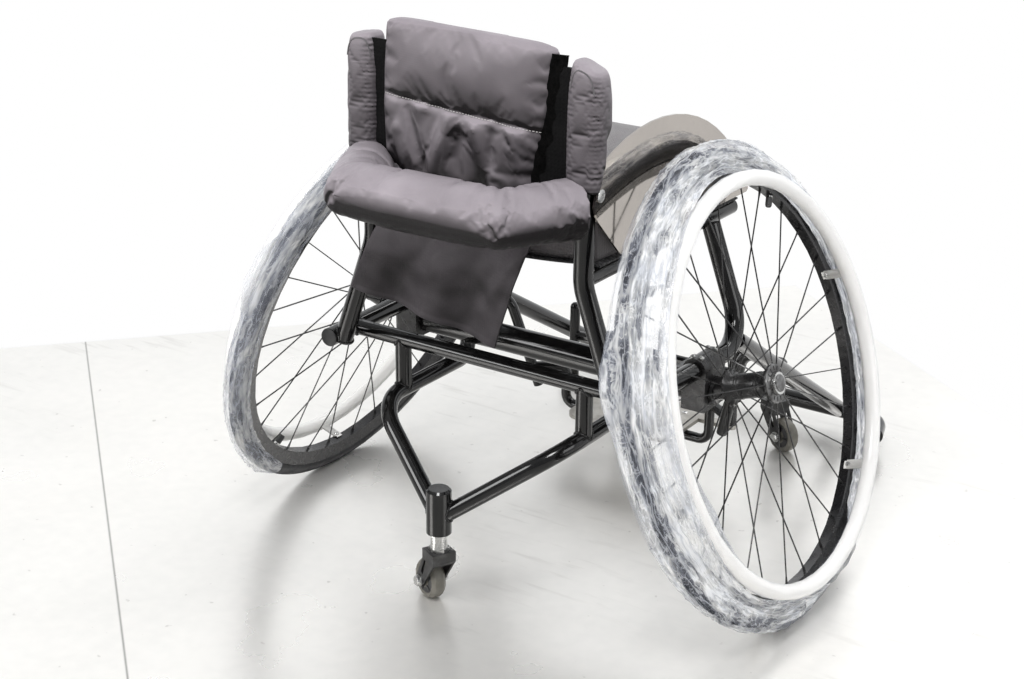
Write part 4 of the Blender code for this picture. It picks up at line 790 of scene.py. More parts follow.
def lathe(profile: Sequence[tuple[float, float]], segments: int = 32,
          wave: Optional[Callable[[float], float]] = None) -> Shape:
    """A closed profile of (radius, height) points turned round Z.

    Args:
        profile: the section, as a loop that stays off the axis or ends on it.
        segments: how many steps round.
        wave: factor on the radius at an angle, for notched or scalloped rims.

    Returns:
        The turned form.
    """
    rings = []
    for step in range(segments):
        angle = 2 * pi * step / segments
        factor = wave(angle) if wave else 1.0
        rings.append([around(angle, radius * factor, height) for radius, height in profile])
    shape = skin(rings, closed=True)
    bmesh.ops.remove_doubles(shape, verts=shape.verts, dist=1e-6)
    return shape


def prism(outline: Sequence[Point], low: float, high: float,
          bevel: float = 0.0) -> Shape:
    """An outline in X and Y pushed up along Z, with its edges broken by a bevel."""
    shape = skin([[(point[0], point[1], z) for point in outline] for z in (low, high)])
    if bevel:
        bmesh.ops.bevel(shape, geom=shape.edges[:] + shape.verts[:], offset=bevel, segments=2,
                        profile=0.5, affect="EDGES")
    return shape


def merge(target: Shape, extra: Shape,
          place: Optional[Matrix] = None) -> None:
    """Add a form to another one and free it."""
    if place is not None:
        extra.transform(place)
    mesh = bpy.data.meshes.new("part")
    extra.to_mesh(mesh)
    extra.free()
    target.from_mesh(mesh)
    bpy.data.meshes.remove(mesh)


def rounded(points: Sequence[Point], *bends: float) -> list[Vector]:
    """A path through points whose inner corners are arcs; one radius serves all of them."""
    corners = [Vector(point) for point in points]
    radii = bends * (len(corners) - 2) if len(bends) == 1 else bends
    path = [corners[0]]
    for before, corner, after, bend in zip(corners, corners[1:], corners[2:], radii):
        arriving = (corner - before).normalized()
        leaving = (after - corner).normalized()
        turn = arriving.angle(leaving)
        middle = corner + (leaving - arriving).normalized() * bend / cos(turn / 2)
        spoke = corner - arriving * bend * tan(turn / 2) - middle
        steps = max(2, ceil(turn / radians(5)))
        swing = Matrix.Rotation(turn / steps, 3, arriving.cross(leaving))
        for _ in range(steps + 1):
            path.append(middle + spoke)
            spoke = swing @ spoke
    path.append(corners[-1])
    return path


def spread(path: Sequence[Vector], count: int) -> list[Vector]:
    """The same path with points at even distances."""
    lengths = [0.0]
    for first, second in zip(path, path[1:]):
        lengths.append(lengths[-1] + (second - first).length)
    points = []
    index = 0
    for step in range(count + 1):
        goal = lengths[-1] * step / count
        while index < len(path) - 2 and lengths[index + 1] < goal:
            index += 1
        share = (goal - lengths[index]) / (lengths[index + 1] - lengths[index])
        points.append(path[index].lerp(path[index + 1], share))
    return points


def path_length(path: Sequence[Vector]) -> float:
    """How long a path is."""
    return sum((second - first).length for first, second in zip(path, path[1:]))


def axis_frame(place: Point, along: Point) -> Matrix:
    """A frame at a place with Z along a direction."""
    return Matrix.Translation(place) @ Vector(along).to_track_quat("Z", "X").to_matrix().to_4x4()


def spokes(outline: Sequence[Point], low: float, high: float, bevel: float, count: int,
           offset: float = 0.0) -> Shape:
    """A prism repeated round Z, the first one turned by an offset counted in steps."""
    shape = bmesh.new()
    for step in range(count):
        turn = Matrix.Rotation(2 * pi * (step + offset) / count, 4, "Z")
        merge(shape, prism(outline, low, high, bevel), turn)
    return shape


def stitches(name: str, path: Sequence[Vector], outward: Vector, pitch: float = 0.0042) -> None:
    """A sewn line of short threads along a path, each raised a little outwards."""
    points = spread(path, max(2, round(path_length(path) / pitch)))
    shape = bmesh.new()
    for first, second in zip(points, points[1:]):
        start, end = first.lerp(second, 0.14), first.lerp(second, 0.82)
        middle = start.lerp(end, 0.5) + outward * 0.0004
        merge(shape, tube([start, start.lerp(middle, 0.6), middle, end.lerp(middle, 0.6), end],
                          lambda share, _: 0.0003 + 0.00028 * sin(pi * share), 5))
    emit(name, shape, Wardrobe.THREAD)


@dataclass(frozen=True)
class Inflation:
    """How a padded cover is blown up as cloth against the seams that hold it."""

    cell: float
    reach: float
    pressure: float = 3.0
    growth: float = 0.006
    gathered: float = 0.07
    stiffness: float = 18.0
    shear: float = 6.0
    bending: float = 0.05
    mass: float = 0.2
    frames: int = 20

    def apply(self, piece: Piece, held: Callable[[Vector], bool],
              gather: Optional[Callable[[Vector], float]] = None) -> None:
        """Blow one closed cover up and keep the folds that it gets.

        Args:
            piece: the cover, closed, at rest.
            held: whether a point, in coordinates from the axle midpoint, is sewn down.
            gather: how much of the gathered width the cloth has at a point, from 0 to 1.
        """
        self.remesh(piece)
        mesh = piece.data
        drawn = [vert.co.copy() for vert in mesh.vertices]
        sewn = piece.vertex_groups.new(name="sewn")
        sewn.add([i for i, co in enumerate(drawn) if held(co - ORIGIN)], 1.0, "REPLACE")
        cloth = self.cloth(piece)
        if gather:
            wide = piece.vertex_groups.new(name="gathered")
            for index, co in enumerate(drawn):
                wide.add([index], gather(co - ORIGIN), "REPLACE")
            cloth.settings.vertex_group_shrink = "gathered"
            cloth.settings.shrink_max = -self.gathered
        for step in range(1, self.frames + 1):
            bpy.context.scene.frame_set(step)
        blown = self.evaluated(piece)
        for vert, start in zip(mesh.vertices, drawn):
            moved = blown.vertices[vert.index].co - start
            vert.co = start + moved * min(1.0, self.reach / max(moved.length, 1e-6))
        piece.modifiers.remove(cloth)
        bpy.data.meshes.remove(blown)
        bpy.context.scene.frame_set(1)
        smooth = piece.modifiers.new("smooth", "SUBSURF")
        smooth.levels = smooth.render_levels = 1
        mesh.shade_smooth()
        log.info("%s blown up with %d points", piece.name, len(drawn))

    def remesh(self, piece: Piece) -> None:
        """Give the cover a mesh of even cells."""
        even = piece.modifiers.new("even", "REMESH")
        even.mode, even.voxel_size = "VOXEL", self.cell
        mesh = self.evaluated(piece)
        piece.modifiers.remove(even)
        mesh.materials.clear()
        for material in piece.data.materials:
            mesh.materials.append(material)
        piece.data = mesh

    def cloth(self, piece: Piece) -> bpy.types.Modifier:
        """The cloth modifier, pressed from inside and held where it is sewn."""
        cloth = piece.modifiers.new("cloth", "CLOTH")
        for key, value in {
                "quality": 6, "mass": self.mass, "tension_stiffness": self.stiffness,
                "compression_stiffness": self.stiffness, "shear_stiffness": self.shear,
                "bending_stiffness": self.bending, "use_pressure": True,
                "uniform_pressure_force": self.pressure, "shrink_min": -self.growth,
                "vertex_group_mass": "sewn"}.items():
            setattr(cloth.settings, key, value)
        cloth.settings.effector_weights.gravity = 0.0
        cloth.collision_settings.use_self_collision = False
        cloth.point_cache.frame_start, cloth.point_cache.frame_end = 1, self.frames
        return cloth

    @staticmethod
    def evaluated(piece: Piece) -> bpy.types.Mesh:
        """The piece's mesh as its modifiers leave it."""
        graph = bpy.context.evaluated_depsgraph_get()
        return bpy.data.meshes.new_from_object(piece.evaluated_get(graph), depsgraph=graph)


@dataclass
class DriveWheel:
    """Film, valve, hub face and fastenings of one drive wheel."""

    side: Side
    camber: float = radians(18.1)
    centre_x: float = 0.3005
    tyre_centre: float = 0.2925
    tyre_section: float = 0.0120
    bed_radius: float = 0.2645
    ring_radius: float = 0.2615
    ring_section: float = 0.0105
    ring_offset: float = 0.0390
    rim_cover: float = 0.0110
    outer_flange: float = 0.0333
    cap_radius: float = 0.0145
    film_gap: float = 0.0009
    film_least: float = 0.0022
    film_billow: float = 0.0050
    film_streak: float = 0.0032
    film_crumple: float = 0.0014
    film_upper: float = 0.0040
    film_flap: float = 0.013
    noise_radius: float = 0.29
    film_steps: int = 560
    film_columns: int = 40
    film_start: float = -132.0
    film_turn: float = 290.0
    round_tyre: float = 0.82
    rim_edge: tuple[float, float] = (0.2812, 0.0128)
    web_from: float = 0.480
    web_tangent: tuple[float, float] = (0.783, 0.622)
    left_bareness: float = 0.42
    full_bareness: float = 0.97
    ring_steps: int = 420
    ring_facets: int = 28
    floor_gap: float = 0.0003

    @property
    def body(self) -> str:
        """The body this wheel's pieces ride on."""
        return f"drive_wheel_{self.side.label}"

    @property
    def place(self) -> Matrix:
        """The wheel's frame, Z outwards along the axle."""
        lean = self.camber
        right = Matrix(((0, -sin(lean), cos(lean), self.centre_x), (1, 0, 0, 0),
                        (0, cos(lean), sin(lean), 0), (0, 0, 0, 1)))
        return right if self.side is Side.RIGHT else Matrix.Rotation(pi, 4, "Z") @ right

    @property
    def film_range(self) -> tuple[float, float]:
        """Where the film runs round the wheel, in degrees from the wheel's front."""
        return (-96.0, 264.0) if self.side is Side.RIGHT else (-58.0, 196.0)

    @property
    def webs(self) -> list[tuple[float, float]]:
        """Middle and half width in degrees of the stretches where film joins tyre and ring."""
        if self.side is Side.RIGHT:
            return [(168.0, 78.0), (-80.0, 20.0)]
        return [(20.0, 16.0), (-30.0, 12.0), (95.0, 18.0)]

    def build(self) -> None:
        """Make every piece of the wheel."""
        self.tyre_film()
        self.ring_film()
        self.tread_ribs()
        self.valve()
        self.hub_face()
        self.hub_rings()
        self.tab_bolts()

    def put(self, stem: str, shape: Shape, finish: Finish,
            place: Optional[Matrix] = None, sharp: float = 40.0) -> Piece:
        """Finish a piece of this wheel, in the wheel's own frame if no place is given."""
        return emit(f"{stem}_{self.side.label}", shape, finish, self.body, place or self.place, sharp)

    def angles(self, steps: int) -> list[float]:
        """Angles of the film's rings, in radians."""
        low, high = self.film_range
        return [radians(low + (high - low) * step / steps) for step in range(steps + 1)]

    def taper(self, angle: float) -> float:
        """How much of the film's fullness is left near its two ends."""
        low, high = self.film_range
        if high - low > 359:
            return 1.0
        return min(1.0, min(abs(turned(angle, radians(end))) for end in (low, high)) / radians(8))

    def web(self, angle: float) -> float:
        """How far the film is lifted off towards the ring at an angle, from 0 to 1."""
        return ease(max(1.35 - abs(turned(angle, radians(middle))) / radians(half)
                        for middle, half in self.webs))

    def looseness(self, angle: float, turn: float) -> float:
        """How far the film stands off the tyre at a place, in metres."""
        spot = around(angle, self.noise_radius, turn * 0.10)
        slack = self.film_least + self.film_billow * max(0.0, fold(spot, 5.0) + 0.15)
        slack += self.film_streak * ridge(around(angle, 0.12, turn * 0.24), 16.0)
        slack += self.film_crumple * ridge(spot, 60.0)
        if self.side is Side.RIGHT:
            slack += self.film_flap * bell(angle, radians(162), radians(9)) * bell(turn, -0.35, 0.60)
        upper = max(0.0, fold((spot.y, spot.x, 3.0), 9.0)) * sin(max(turn, 0))
        return slack + self.film_upper * upper

    def film_section(self, angle: float, share: float) -> Vector:
        """A point of the tyre's film in the wheel's section, as radius and height.

        Args:
            angle: where round the wheel, in radians.
            share: where across the film, from 0 at its inner edge to 1 on the rim.

        Returns:
            The point.
        """
        spot = around(angle, self.noise_radius, share * 0.04)
        turn = radians(self.film_start + self.film_turn * min(share / self.round_tyre, 1.0))
        size = self.tyre_section + self.film_gap + self.looseness(angle, turn) * self.taper(angle)
        point = Vector((self.tyre_centre + size * cos(turn), size * sin(turn)))
        if share > self.round_tyre:
            low = (share - self.round_tyre) / (1 - self.round_tyre)
            point = Vector(self.rim_edge) - Vector((self.rim_cover, 0.0022)) * low
            point.y += 0.0012 * ridge(spot, 40.0)
        web = self.web(angle)
        if share > self.web_from and web > 0.0:
            reach = (share - self.web_from) / (1 - self.web_from)
            slack = 0.0030 * ridge(spot, 34.0) - 0.007 * sin(pi * reach) * (0.4 + fold(spot, 12.0))
            tangent = Vector(self.web_tangent)
            start = Vector((self.tyre_centre, 0.0)) + tangent * (self.tyre_section + 0.0030)
            end = Vector((self.ring_radius, self.ring_offset)) + tangent * (self.ring_section + 0.0012)
            point = point.lerp(start.lerp(end, reach) + tangent * slack, web)
        return point

    def bareness(self, angle: float, share: float) -> float:
        """How far the film on the tyre is see-through, from 0 to 1."""
        if self.side is Side.LEFT:
            return self.left_bareness
        clear_arc = 40 < (angle * 180 / pi) % 360 < 200
        return self.full_bareness * clamp((0.34 - share) / 0.08) if clear_arc else 0.0

    def tyre_film(self) -> None:
        """Crinkled film round the tyre, pulled across to the push ring in places."""
        rings, lies, bare = [], [], []
        for angle in self.angles(self.film_steps):
            ring = []
            for column in range(self.film_columns + 1):
                share = column / self.film_columns
                radius, height = self.film_section(angle, share)
                ring.append(around(angle, radius, height))
                lies.append((angle * 0.29, share * 0.075, 0.0))
                bare.append(self.bareness(angle, share))
            rings.append(ring)
        self.lay_film("tyre_film", skin(rings, ring_open=True), lies, bare)

    def ring_film(self) -> None:
        """Film wound close round the push ring, with one loose stretch on its inner side."""
        rings, lies, bare = [], [], []
        for angle in self.angles(self.ring_steps):
            flap = bell(angle, radians(201), radians(13)) if self.side is Side.RIGHT else 0.0
            loose = self.taper(angle) * self.web(angle)
            ring = []
            for step in range(self.ring_facets):
                turn = 2 * pi * step / self.ring_facets
                spot = around(angle, 0.26, cos(turn) * 0.02)
                inward = flap * bell(abs(turn - pi * 1.05), 0.0, 0.75)
                size = self.ring_section + 0.0005 + inward * (0.015 + 0.004 * fold(spot, 40.0))
                size += loose * (0.0009 * ridge(spot, 30.0) + 0.0008 * max(0.0, fold(spot, 14.0)))
                ring.append(around(angle, self.ring_radius + size * cos(turn),
                                   self.ring_offset + size * sin(turn)))
                lies.append((angle * 0.26, abs(step - self.ring_facets / 2) * 0.0024, 1.0))
                bare.append(self.full_bareness - 0.94 * min(1.0, 2.5 * inward))
            rings.append(ring)
        self.lay_film("ring_film", skin(rings, capped=False), lies, bare)

    def lay_film(self, stem: str, shape: Shape, lies: Sequence[Point],
                 bare: Sequence[float]) -> None:
        """Finish a film and note on its points where they lie and how bare they look."""
        self.keep_off_floor(shape)
        film = self.put(stem, shape, Wardrobe.FILM, sharp=180)
        note = film.data.attributes.new("lie", "FLOAT_VECTOR", "POINT")
        note.data.foreach_set("vector", [value for lie in lies for value in lie])
        film.data.attributes.new("bare", "FLOAT", "POINT").data.foreach_set("value", bare)

    def keep_off_floor(self, shape: Shape) -> None:
        """Flatten what would pass through the floor under the wheel."""
        down = self.place.to_3x3().inverted() @ UP
        for vert in shape.verts:
            height = (self.place @ vert.co).z + ORIGIN.z
            if height < self.floor_gap:
                vert.co += down * (self.floor_gap - height)

    def tread_ribs(self) -> None:
        """Three fine raised ribs round the tyre's crown."""
        shape = bmesh.new()
        for turn in (-0.42, 0.0, 0.42):
            radius = self.tyre_centre + self.tyre_section * cos(turn) * 0.985
            path = circle(radius, 192, self.tyre_section * sin(turn))
            merge(shape, loop_tube(path, 0.0007, 6))
        self.keep_off_floor(shape)
        self.put("tread_ribs", shape, Wardrobe.TYRE)

    def valve(self) -> None:
        """Tyre valve with its black cap, pointing at the hub."""
        outward = around(radians(54.0 if self.side is Side.RIGHT else -52.0))
        place = self.place @ axis_frame(outward * (self.bed_radius - 0.0015), -outward)
        nut = prism(circle(0.0052, 6), 0.0, 0.0022, 0.0003)
        self.put("valve_nut", nut, Wardrobe.STEEL, place)
        cap = lathe([(0.0, 0.0024), (0.0041, 0.0024), (0.0043, 0.0030), (0.0043, 0.0125),
                     (0.0036, 0.0150), (0.0, 0.0150)], 24, lambda a: 1 + 0.03 * cos(12 * a))
        self.put("valve_cap", cap, Wardrobe.PLASTIC, place)

    def hub_face(self) -> None:
        """Grey outer disc with its scalloped rim, and the dark ribs on it."""
        low = self.outer_flange + 0.0002
        disc = lathe([(self.cap_radius + 0.0006, low), (0.0252, low), (0.0252, low + 0.0010),
                      (0.0240, low + 0.0018), (self.cap_radius + 0.0016, low + 0.0018),
                      (self.cap_radius + 0.0006, low + 0.0012)], 120,
                     lambda a: 1 - 0.022 * (0.5 + 0.5 * cos(15 * a)) ** 3)
        self.put("hub_disc", disc, Wardrobe.HUB_FACE)
        rib = [(0.0168, -0.0005), (0.0228, -0.0008), (0.0228, 0.0008), (0.0168, 0.0005)]
        ribs = spokes(rib, low + 0.0016, low + 0.0024, 0.0002, 15, 0.5)
        self.put("hub_ribs", ribs, Wardrobe.BLACK_METAL)

    def hub_rings(self) -> None:
        """Turned collars on the hub's barrel and the dust seal at its inner end."""
        shape = bmesh.new()
        for height, radius in ((-0.018, 0.0171), (-0.0145, 0.0171), (0.010, 0.0171), (0.0135, 0.0174)):
            merge(shape, lathe([(radius - 0.0006, height - 0.0009), (radius, height - 0.0005),
                                (radius, height + 0.0005), (radius - 0.0006, height + 0.0009)], 48))
        self.put("hub_collars", shape, Wardrobe.BLACK_METAL)
        seal = lathe([(0.0075, -0.0352), (0.0118, -0.0352), (0.0118, -0.0356), (0.0075, -0.0356)], 40)
        self.put("hub_seal", seal, Wardrobe.PLASTIC)

    def tab_bolts(self) -> None:
        """Button-headed bolts and feet that hold the ring's tabs to the rim."""
        first = 17.1 if self.side is Side.RIGHT else 30.0
        foot = [(-0.0062, -0.0062), (0.0062, -0.0062), (0.0062, 0.0050), (-0.0062, 0.0050)]
        bolts, feet = bmesh.new(), bmesh.new()
        for step in range(6):
            outward = around(radians(first + 60 * step))
            seat = axis_frame(outward * (self.bed_radius - 0.0030) + UP * 0.0065, -outward)
            merge(bolts, lathe([(0.0, 0.0), (0.0036, 0.0), (0.0036, 0.0010), (0.0026, 0.0022),
                                (0.0013, 0.0024), (0.0013, 0.0014), (0.0, 0.0014)], 20), seat)
            merge(feet, prism(foot, -0.0008, 0.0002, 0.0003), seat)
        self.put("tab_bolts", bolts, Wardrobe.STEEL)
        self.put("tab_feet", feet, Wardrobe.RING)


@dataclass
class Caster:
    """Core, hubs and fastenings of one caster."""

    label: str
    x: float
    y: float
    housing_bottom: float
    heading: float
    trail: float = 0.0236
    wheel_radius: float = 0.0262
    half_width: float = 0.0115
    axle_height: float = 0.0262
    crown: float = 0.0515

    @property
    def place(self) -> Matrix:
        """The caster's frame on its swivel axis at wheel height, X towards the wheel."""
        height = LAYOUT.floor + self.axle_height
        return Matrix.Translation((self.x, self.y, height)) @ Matrix.Rotation(self.heading, 4, "Z")

    @property
    def swivel(self) -> str:
        """The body that turns in the housing."""
        return f"{self.label}_swivel"

    @property
    def roller(self) -> str:
        """The body that rolls."""
        return f"{self.label}_roller"

    def build(self) -> None:
        """Make the caster's dressing."""
        wheel = self.place @ Matrix.Translation((self.trail, 0, 0)) @ Matrix.Rotation(-pi / 2, 4, "X")
        for sign, end in ((1, "a"), (-1, "b")):
            face = wheel @ Matrix.Rotation(0 if sign > 0 else pi, 4, "X")
            self.core(face, end)
            self.bolt_head(face, end)
        self.stem_sleeve()
        self.tread_line(wheel)

    def core(self, face: Matrix, end: str) -> None:
        """Black core ring with its five webs, set in the wheel's dished side."""
        low = self.half_width - 0.0040
        disc = lathe([(0.0086, low + 0.0026), (0.0086, low), (0.0178, low - 0.0002),
                      (0.0190, low + 0.0012), (0.0178, low + 0.0022)], 60)
        emit(f"{self.label}_core_{end}", disc, Wardrobe.PLASTIC, self.roller, face)
        web = [(0.0088, -0.0016), (0.0176, -0.0026), (0.0176, 0.0026), (0.0088, 0.0016)]
        webs = spokes(web, low + 0.0016, low + 0.0032, 0.0003, 5)
        emit(f"{self.label}_webs_{end}", webs, Wardrobe.BLACK_METAL, self.roller, face)

    def bolt_head(self, face: Matrix, end: str) -> None:
        """Hexagon head and washer over the through bolt."""
        outside = self.half_width + 0.0018 + 0.0034 + 0.0003
        shape = lathe([(0.0, outside), (0.0082, outside), (0.0082, outside + 0.0009),
                       (0.0, outside + 0.0009)], 36)
        merge(shape, prism(circle(0.0074, 6), outside + 0.0010, outside + 0.0052, 0.0004))
        emit(f"{self.label}_bolt_head_{end}", shape, Wardrobe.STEEL, self.swivel, face)

    def stem_sleeve(self) -> None:
        """Bright spacer, lock nut and dust washer on the stem between fork and housing."""
        bottom = self.crown - 0.0002
        top = self.housing_bottom - (LAYOUT.floor + self.axle_height) - 0.0012
        room = top - bottom
        profile = [(0.0101, bottom), (0.0112, bottom), (0.0112, bottom + 0.30 * room),
                   (0.0108, bottom + 0.34 * room), (0.0108, top - 0.0030), (0.0128, top - 0.0026),
                   (0.0128, top), (0.0101, top)]
        emit(f"{self.label}_stem_sleeve", lathe(profile, 40), Wardrobe.STEEL, self.swivel, self.place)
        nut = lathe([(0.0101, bottom), (0.0138, bottom), (0.0138, bottom + 0.0052),
                     (0.0101, bottom + 0.0052)], 6)
        emit(f"{self.label}_lock_nut", nut, Wardrobe.STEEL, self.swivel, self.place, 20)

    def tread_line(self, wheel: Matrix) -> None:
        """Mould line round the middle of the tread."""
        shape = loop_tube(circle(self.wheel_radius - 0.0001, 64), 0.0003, 5)
        emit(f"{self.label}_mould_line", shape, Wardrobe.TREAD, self.roller, wheel)


@dataclass
class Upholstery:
    """Back panel, side bolsters, tail and push bar pad."""

    panel_y: float = -0.202
    panel_top: float = 0.450
    panel_bottom: float = 0.215
    panel_depth: float = 0.024
    top_half: float = 0.127
    low_half: float = 0.097
    waist: float = 0.288
    left_taper: float = 0.024
    left_waist: float = 0.260
    seam_height: float = 0.351
    seam_slope: float = -0.075
    seam_dent: float = 0.42
    fan_depth: float = 0.24
    fan_fade: float = 0.060
    fine_depth: float = 0.07
    fine_fade: float = 0.018
    upper_depth: float = 0.05
    upper_fade: float = 0.012
    edge_gather: float = 0.10
    upper_lean: float = 0.007
    lower_lean: float = 0.005
    bolster_inner: float = 0.139
    bolster_outer: float = 0.187
    bolster_rear: float = -0.212
    bolster_front: float = -0.168
    bolster_top: float = 0.428
    bolster_flare: float = 0.038
    bolster_flare_from: float = 0.322
    crease_share: float = 0.45
    guard_skin: float = 0.1747
    post_end: float = 0.0225
    strap_low: float = 0.270
    strap_high: float = 0.424
    hook_low: float = 0.280
    hook_height: float = 0.158
    tail_back_y: float = -0.222
    tail_low: tuple[Point, Point] = ((-0.166, 0.104), (0.061, 0.070))
    tail_top_x: tuple[float, float] = (-0.120, 0.101)
    tail_half: float = 0.0011
    tail_hem: float = 0.0004
    pad_radius: float = 0.036
    pad_start: float = 0.014
    pad_facets: int = 56
    pad_step: float = 0.0035
    pad_slant_reach: float = 0.045

    def build(self) -> None:
        """Make all the soft pieces of the back."""
        self.panel()
        self.seam()
        for side in Side:
            self.bolster(side)
            self.strap(side)
        self.hook_strip()
        self.tail()
        self.pad()

    def panel_edge(self, sign: int, z: float) -> float:
        """Side edge of the panel at a height."""
        reach = self.left_taper if sign < 0 else self.panel_top - self.waist
        waist = self.left_waist if sign < 0 else self.waist
        share = clamp((z - waist) / reach) ** 0.8
        return sign * (self.low_half + (self.top_half - self.low_half) * share)

    def seam_z(self, x: float) -> float:
        """Height of the sewn seam across the panel."""
        return self.seam_height + self.seam_slope * x

    def panel_point(self, s: float, t: float, sign: int) -> Vector:
        """A point of the panel's rear (-1) or front (1) face for s and t from -1 to 1."""
        top = self.panel_top - 0.004 * s - 0.008 * abs(s) ** 12
        z = self.panel_bottom + (top - self.panel_bottom) * (t + 1) / 2
        left, right = self.panel_edge(-1, z), self.panel_edge(1, z)
        x = (left + right) / 2 + s * (right - left) / 2
        seam = self.seam_z(x)
        edge = sqrt(max(1 - abs(s) ** 6, 0.0))
        roll = sqrt(max(0.0, 1 - max(0.0, (t - 0.88) / 0.125) ** 2))
        dent = self.seam_dent * bell(z, seam, 0.0035)
        below = max(0.0, seam - z)
        if z < seam:
            fan = x / (0.05 + below * 0.35)
            broad = sin(2.1 * fan + 2.5 * fold((x, 0, z), 18.0)) * exp(-below / self.fan_fade)
            fine = sin(150 * x + 3 * fold((x, 3, z), 30.0)) * exp(-below / self.fine_fade)
            gather = self.fan_depth * broad + self.fine_depth * fine
        else:
            gather = self.upper_depth * sin(120 * x + 2 * fold((x, 5, z), 25.0))
            gather *= exp((seam - z) / self.upper_fade)
        pull = sum(depth * bell(self.off_line(x, z, start, end), 0.0, width)
                   for start, end, depth, width in self.creases())
        side_pinch = self.edge_gather * sin(260 * z + 4 * fold((x, z, 1), 30.0)) * abs(s) ** 8
        size = (1 - dent + gather + pull + side_pinch) * edge * (0.25 + 0.75 * roll)
        lean = self.upper_lean * max(0.0, (z - 0.36) / 0.09) ** 1.4
        lean += self.lower_lean * max(0.0, (0.34 - z) / 0.12)
        return Vector((x, self.panel_y + lean + sign * self.panel_depth / 2 * max(0.10, size), z))

    def creases(self) -> list[tuple]:
        """Long folds of the panel below its seam: start, end, height and width."""
        return [((-0.020, 0.345), (-0.060, 0.240), 0.42, 0.010),
                ((0.018, 0.335), (0.050, 0.235), 0.45, 0.010),
                ((0.070, 0.338), (0.088, 0.250), 0.34, 0.008),
                ((-0.085, 0.345), (-0.055, 0.250), -0.38, 0.010),
                ((0.045, 0.335), (0.025, 0.240), -0.42, 0.012),
                ((0.098, 0.335), (0.110, 0.270), -0.38, 0.007),
                ((-0.010, 0.320), (-0.010, 0.225), -0.30, 0.014),
                ((-0.100, 0.320), (-0.088, 0.250), 0.34, 0.008)]

    @staticmethod
    def off_line(x: float, z: float, start: Point, end: Point) -> float:
        """Distance of a point of the panel from a fold's line."""
        offset, way = Vector((x, z)) - Vector(start), Vector(end) - Vector(start)
        return (offset - way * clamp(offset.dot(way) / way.length_squared)).length

    def panel(self) -> None:
        """The padded back panel with its rolled top and its gathers."""
        shape = slab(110, 120, self.panel_point)
        panel = emit("back_panel_cover", shape, Wardrobe.CORDURA, sharp=75)
        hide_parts("backrest_panel")
        Inflation(cell=0.0034, reach=0.005).apply(
            panel, self.sewn_panel, lambda place: clamp((self.seam_z(place.x) - place.z) / 0.006))

    def sewn_panel(self, place: Vector) -> bool:
        """Whether a point of the panel lies on its seam or at its bound edges."""
        edge = abs(self.panel_edge(1 if place.x > 0 else -1, place.z))
        on_seam = abs(place.z - self.seam_z(place.x)) < 0.0030
        on_edge = edge - abs(place.x) < 0.004 or place.z > self.panel_top - 0.002
        return on_seam or on_edge or place.z < self.panel_bottom + 0.03

    def seam(self) -> None:
        """The light thread of the seam, laid on the back of the blown-up panel."""
        cover = bpy.data.objects["back_panel_cover"]
        cloth = BVHTree.FromObject(cover, bpy.context.evaluated_depsgraph_get())
        path = []
        for step in range(121):
            x = -0.123 + 0.240 * step / 120
            start = ORIGIN + Vector((x, self.panel_y - 0.06, self.seam_z(x)))
            met = cloth.ray_cast(start, Vector((0, 1, 0)))[0]
            if met is not None:
                path.append(met - ORIGIN + Vector((0, -0.0003, 0)))
        stitches("panel_seam_thread", path, Vector((0, -1, 0)))

    def bolster_ring(self, side: Side, height: float, angle: float) -> Vector:
        """A point of a bolster's skin; height runs from -1 to 1."""
        bottom = LAYOUT.bar_z + self.post_end
        middle_y = (self.bolster_rear + self.bolster_front) / 2
        half_depth = (self.bolster_front - self.bolster_rear) / 2
        z = (bottom + self.bolster_top) / 2 + (self.bolster_top - bottom) / 2 * height
        roundness = max(1 - height ** 2, 0.0) ** (0.24 if height > 0 else 0.16)
        least = 0.45 if height > 0 else 0.90
        size = least + (1 - least) * roundness
        across, back = (copysign(abs(value) ** 0.62, value) for value in (cos(angle), sin(angle)))
        pucker = self.crease_share * self.pucker(side, z, angle)
        y = middle_y + (half_depth * size + pucker) * back
        free = max(ease((z - self.bolster_flare_from) / self.bolster_flare),
                   ease((self.guard_rear(z) - 0.0012 - y) / 0.007))
        outer = self.guard_skin + (self.bolster_outer - self.guard_skin) * free
        x = (self.bolster_inner + outer) / 2 + ((outer - self.bolster_inner) / 2 * size
                                                + pucker * free) * across
        lean = (0.010 if side is Side.RIGHT else 0.003) * max(height, 0) ** 2 * size * across
        return Vector((side.value * x, y, z - lean))

    @staticmethod
    def guard_rear(z: float) -> float:
        """Where the side guard's rear edge runs at a height."""
        return -0.199 + 0.017 * clamp((z - 0.262) / 0.049)

    def pucker(self, side: Side, z: float, angle: float) -> float:
        """Short creases across a bolster along its two sewn edges."""
        depth = 0.0
        for middle in (-0.7, 3.6) if side is Side.RIGHT else (-2.2, 3.4):
            near = bell(turned(angle, middle), 0.0, 0.60)
            spot = (middle, 0, z)
            depth += near * 0.0009 * sin(1150 * z + 6 * fold(spot, 26.0)) * (0.7 + fold(spot, 60.0))
        return depth + 0.0010 * fold((angle * 0.02, 0.4 * side.value, z), 50.0)

    def sewn_bolster(self, side: Side, place: Vector) -> bool:
        """Whether a point of a bolster lies on one of its two seams or at its lower hem."""
        inner = abs(abs(place.x) - self.bolster_inner) < 0.004 and place.y < -0.204
        outer = abs(place.x) > self.bolster_outer - 0.006 and place.y > -0.180
        return inner or outer or place.z < LAYOUT.bar_z + self.post_end + 0.004

